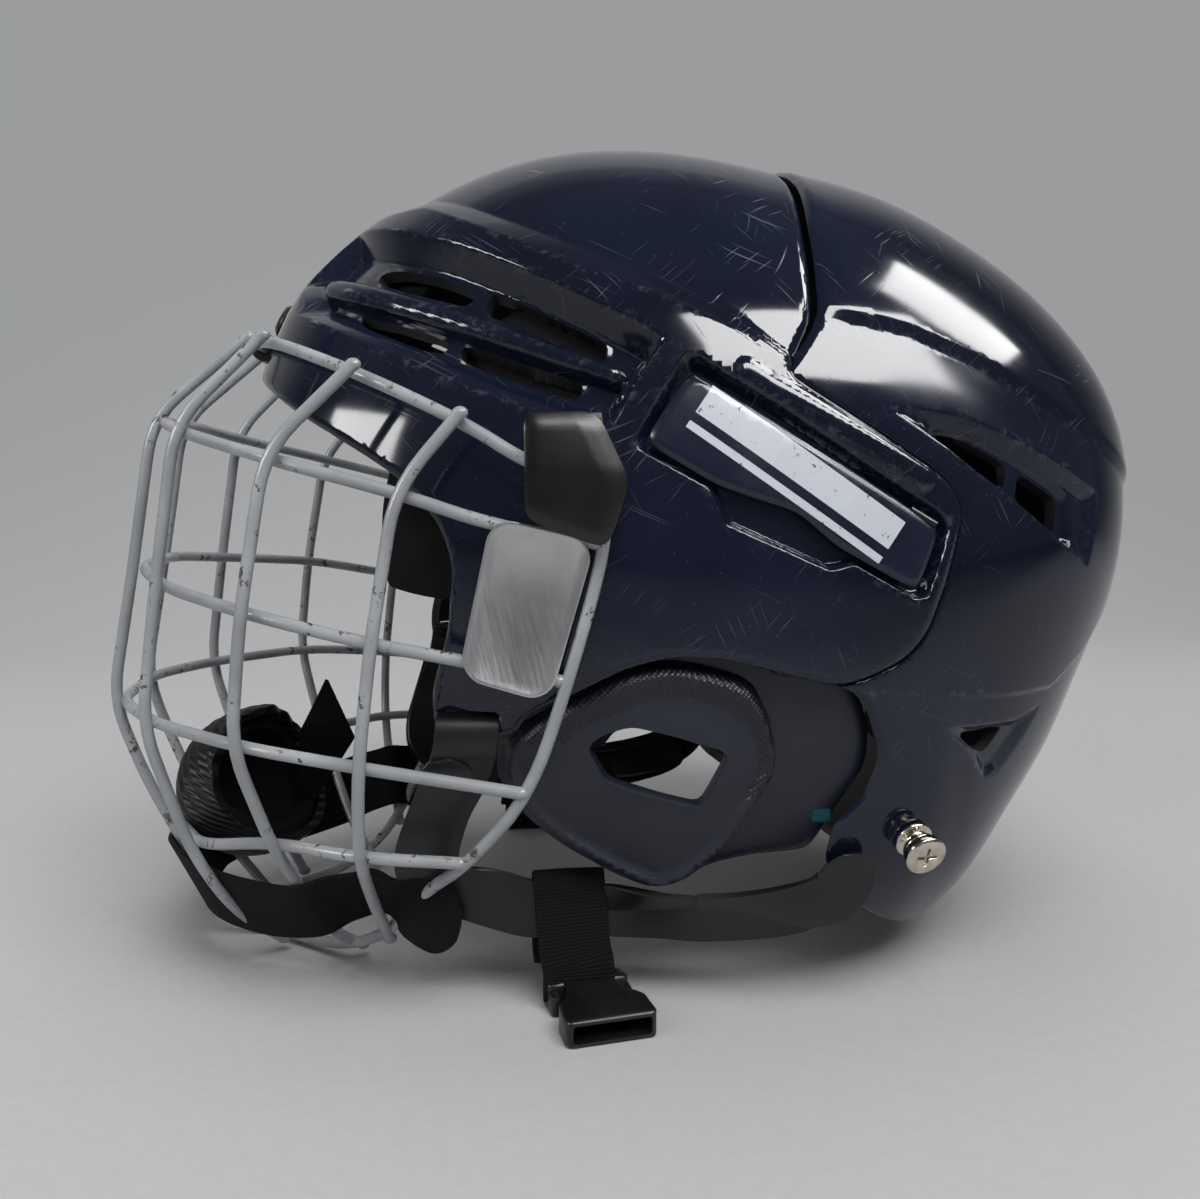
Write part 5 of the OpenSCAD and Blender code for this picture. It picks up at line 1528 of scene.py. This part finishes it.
class HELMET_OT_buckle(bpy.types.Operator):
    """Moulds the side-release buckle: a socket with a flared mouth on the left, and the plug with its prongs"""
    bl_idname = "helmet.buckle"
    bl_label = "Buckle"

    def execute(self, context):
        waist = mirrored_outline(
            [(6.6, -5), (6.4, -10), (7.4, -14), (9.6, -16.6), (11, -18.6), (11.3, -25.6), (10.6, -27.4)])
        body = slab("socket", waist, 0.3, 8, 0.9, 3)
        tail = mirrored_outline([(9.4, 0.4), (10.4, -1), (10.6, -6.6), (9, -7.4)])
        carve(body, slab("tail", tail, 0.3, 7.2, 0.9, 3), "UNION")
        for side in (1, -1):
            lug = [(side * x, y) for x, y in ((8, -6), (10.6, -6), (10.4, -10.4), (9.4, -11), (8.2, -10.6))]
            carve(body, slab("lug", lug, 0.4, 5.4, 0.5), "UNION")
        carve(body, block("mouth", (0, -22, 4.1), (19.4, 14, 5), 0.8, 3))
        carve(body, block("web_slot", (0, -2.6, 8.2), (17.6, 2.6, 7), 0.4))
        panel = [(-4.6, -6.6), (4.6, -6.6), (5.4, -15.4), (6.6, -19.6), (-6.6, -19.6), (-5.4, -15.4)]
        carve(body, slab("panel", panel, 7.55, 9, 0.3))
        p = positions(body)
        p[:, 2] *= np.interp(p[:, 1], [-28, -18, -7, 0], [0.84, 0.95, 1.0, 0.9])
        turn = math.radians(9)
        x = p[:, 0] * math.cos(turn) - p[:, 1] * math.sin(turn)
        y = p[:, 0] * math.sin(turn) + p[:, 1] * math.cos(turn)
        set_positions(body, np.column_stack([x - 22.6, y - 66.6, p[:, 2] - 0.1]))
        finish_piece(recalculated(body), "Buckle_socket", "front_shell", finish_of("acetal"), ["buckle_socket"],
                     35)
        dressed_copy("buckle_plug", "Buckle_plug", "front_shell", finish_of("acetal"), 0.6)
        for end in ("front", "rear"):
            prong = "plug_prong_" + end
            dressed_copy(prong, prong.capitalize(), prong, finish_of("acetal"), 0.3)
        return {"FINISHED"}


CUP_CENTRE = np.array([-110, 0, 42.0])
CUP_TILT = math.radians(41)
CUP_TURN = math.radians(-24)


def cup_axes():
    """The cup's own axes as rows: up along its front wall, across it, and out of its mouth."""
    mouth = Vector((math.cos(CUP_TILT), 0, math.sin(CUP_TILT)))
    rise = Vector((-math.sin(CUP_TILT), 0, math.cos(CUP_TILT)))
    turn = Matrix.Rotation(CUP_TURN, 3, "Z")
    return np.array([turn @ rise, turn @ mouth.cross(rise), turn @ mouth])


def bowl(name, half, rim, thickness, relief):
    """A bowl with its mouth along the cup's axis. rim gives the height of its edge round the mouth."""
    start_fresh()
    bpy.ops.mesh.primitive_uv_sphere_add(segments=96, ring_count=64, radius=1)
    piece = bpy.context.object
    piece.name = name
    axes, half = cup_axes(), np.array(half)
    set_positions(piece, CUP_CENTRE + (raw_points(piece) * half) @ axes)

    def local(p):
        return (p - CUP_CENTRE) @ axes.T / half

    cut_along(piece, lambda p: (rim(np.arctan2(local(p)[:, 1], local(p)[:, 0])) - local(p)[:, 2]) * half[2], snap=0.05)
    p = positions(piece)
    unit = local(p)
    out = unit / half @ axes
    set_positions(piece, p + out / np.linalg.norm(unit / half, axis=1)[:, None] * relief(unit)[:, None])
    recalculated(piece)
    modify(piece, "SOLIDIFY", thickness=thickness * MM, offset=-1.0, use_quality_normals=True)
    modify(piece, "BEVEL", width=min(1.1, thickness * 0.42) * MM, segments=3, limit_method="ANGLE",
           angle_limit=math.radians(STEP_ANGLE))
    return piece


class HELMET_OT_chin_cup(bpy.types.Operator):
    """Moulds the chin cup with its ribs and dimpled front, and the foam liner inside it"""
    bl_idname = "helmet.chin_cup"
    bl_label = "Chin Cup"

    def execute(self, context):
        def ribs(unit):
            """Ribs that follow the edge on the upper lobes and fade towards the front."""
            ring = np.degrees(np.arccos(np.clip(unit[:, 2], -1, 1)))
            lobe = smooth_step(-0.35, 0.15, unit[:, 0]) * smooth_step(0.15, 0.45, np.abs(unit[:, 1]) + 0.25)
            return 0.45 * np.cos(ring * math.radians(360 / 9)) * lobe * smooth_step(125, 105, ring)

        cup = bowl("chin_cup", (21.5, 27, 22), lambda a: 0.26 + 0.3 * np.cos(a) + 0.1 * np.cos(2 * a), 2.4, ribs)
        unit = (positions(cup) - CUP_CENTRE) @ cup_axes().T / 22
        set_value(cup, "grip", smooth_step(0.25, 0.0, unit[:, 0]) * smooth_step(-0.2, -0.5, unit[:, 2]))
        finish_piece(cup, "Chin_cup", "cage", finish_of("cup"), ["chin_cup"], 50)

        def pleats(unit):
            ring = np.degrees(np.arccos(np.clip(unit[:, 2], -1, 1)))
            return 0.5 * np.cos(ring * math.radians(360 / 11)) * smooth_step(-0.1, -0.4, unit[:, 0])

        liner = bowl("liner", (18.6, 24, 19), lambda a: 0.16 + 0.26 * np.cos(a) + 0.1 * np.cos(2 * a), 3.4, pleats)
        finish_piece(liner, "Chin_cup_pad", "cage", finish_of("foam"), ["chin_cup_pad"], 50)
        return {"FINISHED"}


class HELMET_OT_webbing_flap(bpy.types.Operator):
    """Cuts the pointed end of webbing that stands up behind the chin cup"""
    bl_idname = "helmet.webbing_flap"
    bl_label = "Webbing Flap"

    def execute(self, context):
        outline = [(-8.4, 0), (-9, -17.8), (-4, -20.3), (8.2, -2), (0.4, 17)]
        start_fresh()
        bpy.ops.mesh.primitive_grid_add(x_subdivisions=26, y_subdivisions=50, size=2)
        piece = context.object
        spot = raw_points(piece)
        set_positions(piece, np.column_stack([spot[:, 0] * 10, np.zeros(len(spot)), -1.6 + spot[:, 1] * 20]))
        cut_along(piece, within(outline), snap=0.05)
        p = positions(piece)
        set_uv(piece, p[:, (0, 2)])
        bow = -0.9 + 0.012 * p[:, 0] ** 2 + 0.003 * (p[:, 2] + 4) ** 2
        turn = math.radians(8)
        x = -91 + p[:, 0] * math.cos(turn) - bow * math.sin(turn)
        y = 7.6 + p[:, 0] * math.sin(turn) + bow * math.cos(turn)
        set_positions(piece, np.column_stack([x, y, 54 + p[:, 2]]))
        recalculated(piece)
        modify(piece, "SOLIDIFY", thickness=context.scene.helmet_strap.web, offset=0.0)
        finish_piece(piece, "Webbing_flap", "cage", finish_of("webbing"), ["webbing_flap"])
        return {"FINISHED"}


def dome_at(around, side):
    """Points of the dome by the angle round its middle plane and the angle to the side, in degrees."""
    a, s = np.radians(around), np.radians(side)
    flat = dome_radius(around) * np.cos(s) ** (2 / SQUARENESS)
    out = half_width() * np.sign(s) * np.abs(np.sin(s)) ** (2 / SQUARENESS)
    return CENTRE + np.column_stack([flat * np.cos(a), out, flat * np.sin(a)])


def pad(name, around, side, depth, channels, thickness=11.0, cuts=22):
    """A foam pad under the dome: a cube wrapped to a range of angles, its inner face crowned and channelled."""
    start_fresh()
    bpy.ops.mesh.primitive_cube_add(size=2)
    piece = bpy.context.object
    piece.name = name
    bpy.ops.object.mode_set(mode="EDIT")
    bpy.ops.mesh.subdivide(number_cuts=cuts)
    bpy.ops.object.mode_set(mode="OBJECT")
    u, v, w = raw_points(piece).T
    crown = np.sqrt(np.clip((1 - u ** 6) * (1 - v ** 6), 0, 1))
    groove = sum(np.exp(-((v if across else u) - at) ** 2 / 0.004) for across, at in channels)
    drop = depth + thickness * (0.42 + 0.58 * crown - 0.26 * np.minimum(groove, 1) * crown) * (1 - w) / 2
    drop += 0.8 * (1 - crown) * (1 + w) / 2
    points = dome_at(
        (around[0] + around[1]) / 2 + (around[1] - around[0]) / 2 * u * np.sqrt(1 - v * v * 0.1),
        (side[0] + side[1]) / 2 + (side[1] - side[0]) / 2 * v * np.sqrt(1 - u * u * 0.1))
    set_positions(piece, raised_off(points, -drop))
    recalculated(piece)
    modify(piece, "SUBSURF", levels=1, render_levels=1)
    return piece


class HELMET_OT_pads(bpy.types.Operator):
    """Cuts the foam pads of the liner, crowned towards the head and split by channels"""
    bl_idname = "helmet.pads"
    bl_label = "Liner Pads"

    def execute(self, context):
        wall = context.scene.helmet_shell.wall / MM + 0.3
        middle = [(True, -0.36), (True, 0.36)]
        for name, body, around, side, depth, channels, finish in (
                ("front_pad", "front_shell", (138, 157), (-30, 30), wall + 5.1, middle, "foam"),
                ("crown_pad", "front_shell", (103, 130), (-22, 22), wall + 2, middle, "foam"),
                ("rear_pad", "rear_shell", (-8, 55), (-28, 28), wall + 1.5, middle + [(False, 0.0)], "foam"),
                ("neck_pad", "rear_shell", (-46, -16), (-30, 30), wall + 1, middle, "foam")):
            piece = pad(name, around, side, depth, channels)
            finish_piece(piece, name.capitalize(), body, finish_of(finish), [name], 60)
        piece = pad("side_pad", (128, 178), (-66, -44), wall + 3.8, [(False, -0.4), (False, 0.36)])
        for made in to_both_sides(piece, "Side_pad_{}", "front_shell", finish_of("foam"), ["side_pad_{}"], 60):
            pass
        bit = block("ear_foam", (34.6, -side_y(34.6, 50, GUARD_SEAT - 1), 50), (5, 3, 4.4), 0.7, 3)
        for made in to_both_sides(bit, "Ear_foam_{}", "rear_shell", finish_of("teal_foam"), [], 60):
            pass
        return {"FINISHED"}


# The stage


ROOM_GREY = "#9b9c9d"
ROOM_LIGHT = 0.3
HELMET_MIDDLE = (0.0, 0.0, 0.1)
# The camera stands 0.36 m off the helmet's right side and looks a little down and to the rear
CAMERA_PLACE = (-0.0558, -0.358, 0.1359)
CAMERA_TURN = 90 - 8.03
CAMERA_DIP = 6.6
FILM_WIDTH = 36
# Where the haze that hides the end of the paper starts and is full, in metres
HAZE = (0.45, 1.15)
# Direction round and up in degrees, distance, width and height in metres, power; windows are only mirrored
LAMPS = [
    ("Window_side", -57, 43, 1.7, (1.2, 0.5), 34.0, True),
    ("Window_rear", -10, 46, 1.7, (0.5, 0.62), 15.0, True),
    ("Window_front", -160, 21, 1.6, (0.7, 0.34), 12.0, True),
    ("Wall_glow", 115, 32, 1.8, (1.8, 0.8), 5.0, True),
    ("Key", -75, 55, 1.8, (1.4, 1.0), 29.0, False),
    ("Overhead", 90, 76, 1.7, (1.4, 1.0), 7.0, False),
    ("Fill", -150, 30, 1.9, (1.6, 1.0), 8.0, False),
]


def way_to(turn, rise):
    """The way that points round from x and up by two angles in degrees."""
    turn, rise = math.radians(turn), math.radians(rise)
    return Vector((math.cos(turn) * math.cos(rise), math.sin(turn) * math.cos(rise), math.sin(rise)))


def aim(thing, way):
    """Turns a lamp or camera to look a way."""
    thing.rotation_euler = way.to_track_quat("-Z", "Y").to_euler()


class HELMET_OT_stage(bpy.types.Operator):
    """Sets the pale floor and wall, the soft lamps and the camera"""
    bl_idname = "helmet.stage"
    bl_label = "Stage"

    def execute(self, context):
        start_fresh()
        bpy.ops.mesh.primitive_plane_add(size=1)
        sweep = context.object
        sweep.name = "Backdrop"
        bpy.ops.object.mode_set(mode="EDIT")
        bpy.ops.transform.resize(value=(12, 5.0, 1))
        bpy.ops.transform.translate(value=(0, -1.5, 0))
        bpy.ops.mesh.select_all(action="DESELECT")
        bpy.ops.object.mode_set(mode="OBJECT")
        for edge in sweep.data.edges:
            edge.select = all(sweep.data.vertices[i].co.y > 0.9 for i in edge.vertices)
        bpy.ops.object.mode_set(mode="EDIT")
        bpy.ops.mesh.select_mode(type="EDGE")
        bpy.ops.mesh.extrude_region_move(TRANSFORM_OT_translate={"value": (0, 0, 3)})
        bpy.ops.object.mode_set(mode="OBJECT")
        modify(sweep, "BEVEL", width=0.5, segments=16, limit_method="ANGLE")
        shade(sweep)
        material, tree, shader, coordinates = new_material("Grey paper sweep", Roughness=0.95)
        paper = noise(tree, coordinates, 260.0, 5.0)
        floor = tuple(context.scene.helmet_finish.floor)
        tone = ramp(tree, paper, "Fac", [(0.3, tuple(0.95 * c for c in floor[:3]) + (1,)), (0.7, floor)])
        # Painted shade: for mirrored rays the paper in front of the helmet is darkened, standing in for the dark room
        # there, so that its glossy sides mirror little of the paper
        parts = add(tree, "ShaderNodeSeparateXYZ", links={"Vector": (coordinates, "Object")})
        dark = spread(tree, parts, "Y", -0.62, -0.3, -0.65, 0.0)
        path = add(tree, "ShaderNodeLightPath")
        near = maths(tree, "MULTIPLY_ADD", (path, "Is Glossy Ray"), (dark, "Result"), 1.0)
        paper_painted_shade = add(tree, "ShaderNodeVectorMath", {"operation": "SCALE"},
                     {0: (tone, "Color"), "Scale": (near, "Value")})
        drive(tree, shader, "Base Color", paper_painted_shade, "Vector")
        # Far from the helmet the camera sees paper and room as one even grey, as behind a long sweep
        away = add(tree, "ShaderNodeVectorMath", {"operation": "LENGTH"}, {0: (coordinates, "Object")})
        far = add(tree, "ShaderNodeMapRange",
                  {"interpolation_type": "SMOOTHSTEP", "From Min": HAZE[0], "From Max": HAZE[1]},
                  {"Value": (away, "Value")})
        hidden = maths(tree, "MULTIPLY", (path, "Is Camera Ray"), (far, "Result"))
        haze = add(tree, "ShaderNodeEmission", {"Color": linear(ROOM_GREY)})
        both = add(tree, "ShaderNodeMixShader",
                   links={"Fac": (hidden, "Value"), 1: (shader, "BSDF"), 2: (haze, "Emission")})
        ending = next(node for node in tree.nodes if node.type == "OUTPUT_MATERIAL")
        tree.links.new(both.outputs["Shader"], ending.inputs["Surface"])
        sweep.data.materials.append(material)

        scene = context.scene
        scene.view_settings.view_transform = "Standard"
        world = bpy.data.worlds.new("Studio")
        world.use_nodes = True
        world.node_tree.nodes["Background"].inputs["Color"].default_value = linear(ROOM_GREY)
        # The camera sees the room at its full grey; it lights the helmet at less
        room = world.node_tree
        seen = add(room, "ShaderNodeLightPath")
        level = maths(room, "MULTIPLY_ADD", (seen, "Is Camera Ray"), 1 - ROOM_LIGHT, ROOM_LIGHT)
        room.links.new(level.outputs["Value"], room.nodes["Background"].inputs["Strength"])
        scene.world = world
        for name, turn, rise, away, size, power, mirrored in LAMPS:
            lamp = bpy.data.lights.new(name, "AREA")
            lamp.shape = "RECTANGLE"
            lamp.size, lamp.size_y = size
            lamp.energy = power
            holder = bpy.data.objects.new(name, lamp)
            context.collection.objects.link(holder)
            holder.location = Vector(HELMET_MIDDLE) + away * way_to(turn, rise)
            holder.visible_glossy = mirrored
            holder.visible_diffuse = not mirrored
            aim(holder, Vector(HELMET_MIDDLE) - holder.location)

        camera = bpy.data.objects.new("Camera", bpy.data.cameras.new("Camera"))
        context.collection.objects.link(camera)
        camera.data.lens = camera.data.sensor_width = FILM_WIDTH
        camera.data.clip_start = 0.01
        camera.location = CAMERA_PLACE
        aim(camera, way_to(CAMERA_TURN, -CAMERA_DIP))
        scene.camera = camera
        return {"FINISHED"}


class HELMET_PT_helmet(bpy.types.Panel):
    """Lists the helmet's sizes, colours and pieces in the sidebar"""
    bl_idname = "HELMET_PT_helmet"
    bl_label = "Hockey Helmet"
    bl_space_type = "VIEW_3D"
    bl_region_type = "UI"
    bl_category = "Helmet"

    def draw(self, context):
        for title, group in (("Shells", context.scene.helmet_shell), ("Cage", context.scene.helmet_cage),
                             ("Straps", context.scene.helmet_strap), ("Colours", context.scene.helmet_finish)):
            box = self.layout.box()
            box.label(text=title)
            for key in type(group).__annotations__:
                box.prop(group, key)
        for step in STEPS:
            self.layout.operator("helmet." + step)


CLASSES = [
    HelmetShellSizes, HelmetCageSizes, HelmetStrapSizes, HelmetFinish,
    HELMET_OT_front_shell, HELMET_OT_rear_shell, HELMET_OT_latches, HELMET_OT_ear_guards,
    HELMET_OT_side_flaps, HELMET_OT_cage_plates, HELMET_OT_cage_wires, HELMET_OT_forehead_clip,
    HELMET_OT_fasteners, HELMET_OT_straps, HELMET_OT_buckle_webbing, HELMET_OT_buckle, HELMET_OT_cage_webbing,
    HELMET_OT_chin_cup, HELMET_OT_webbing_flap, HELMET_OT_pads, HELMET_OT_stage, HELMET_PT_helmet,
]
STEPS = [
    "front_shell", "rear_shell", "latches", "ear_guards", "side_flaps", "cage_plates", "cage_wires",
    "forehead_clip", "fasteners", "straps", "buckle_webbing", "buckle", "cage_webbing", "chin_cup", "webbing_flap",
    "pads", "stage",
]


def register():
    for cls in CLASSES:
        bpy.utils.register_class(cls)
    bpy.types.Scene.helmet_shell = bpy.props.PointerProperty(type=HelmetShellSizes)
    bpy.types.Scene.helmet_cage = bpy.props.PointerProperty(type=HelmetCageSizes)
    bpy.types.Scene.helmet_strap = bpy.props.PointerProperty(type=HelmetStrapSizes)
    bpy.types.Scene.helmet_finish = bpy.props.PointerProperty(type=HelmetFinish)


def unregister():
    for name in ("helmet_shell", "helmet_cage", "helmet_strap", "helmet_finish"):
        delattr(bpy.types.Scene, name)
    for cls in reversed(CLASSES):
        bpy.utils.unregister_class(cls)


def main():
    register()
    for step in STEPS:
        getattr(bpy.ops.helmet, step)()


if __name__ == "__main__":
    main()
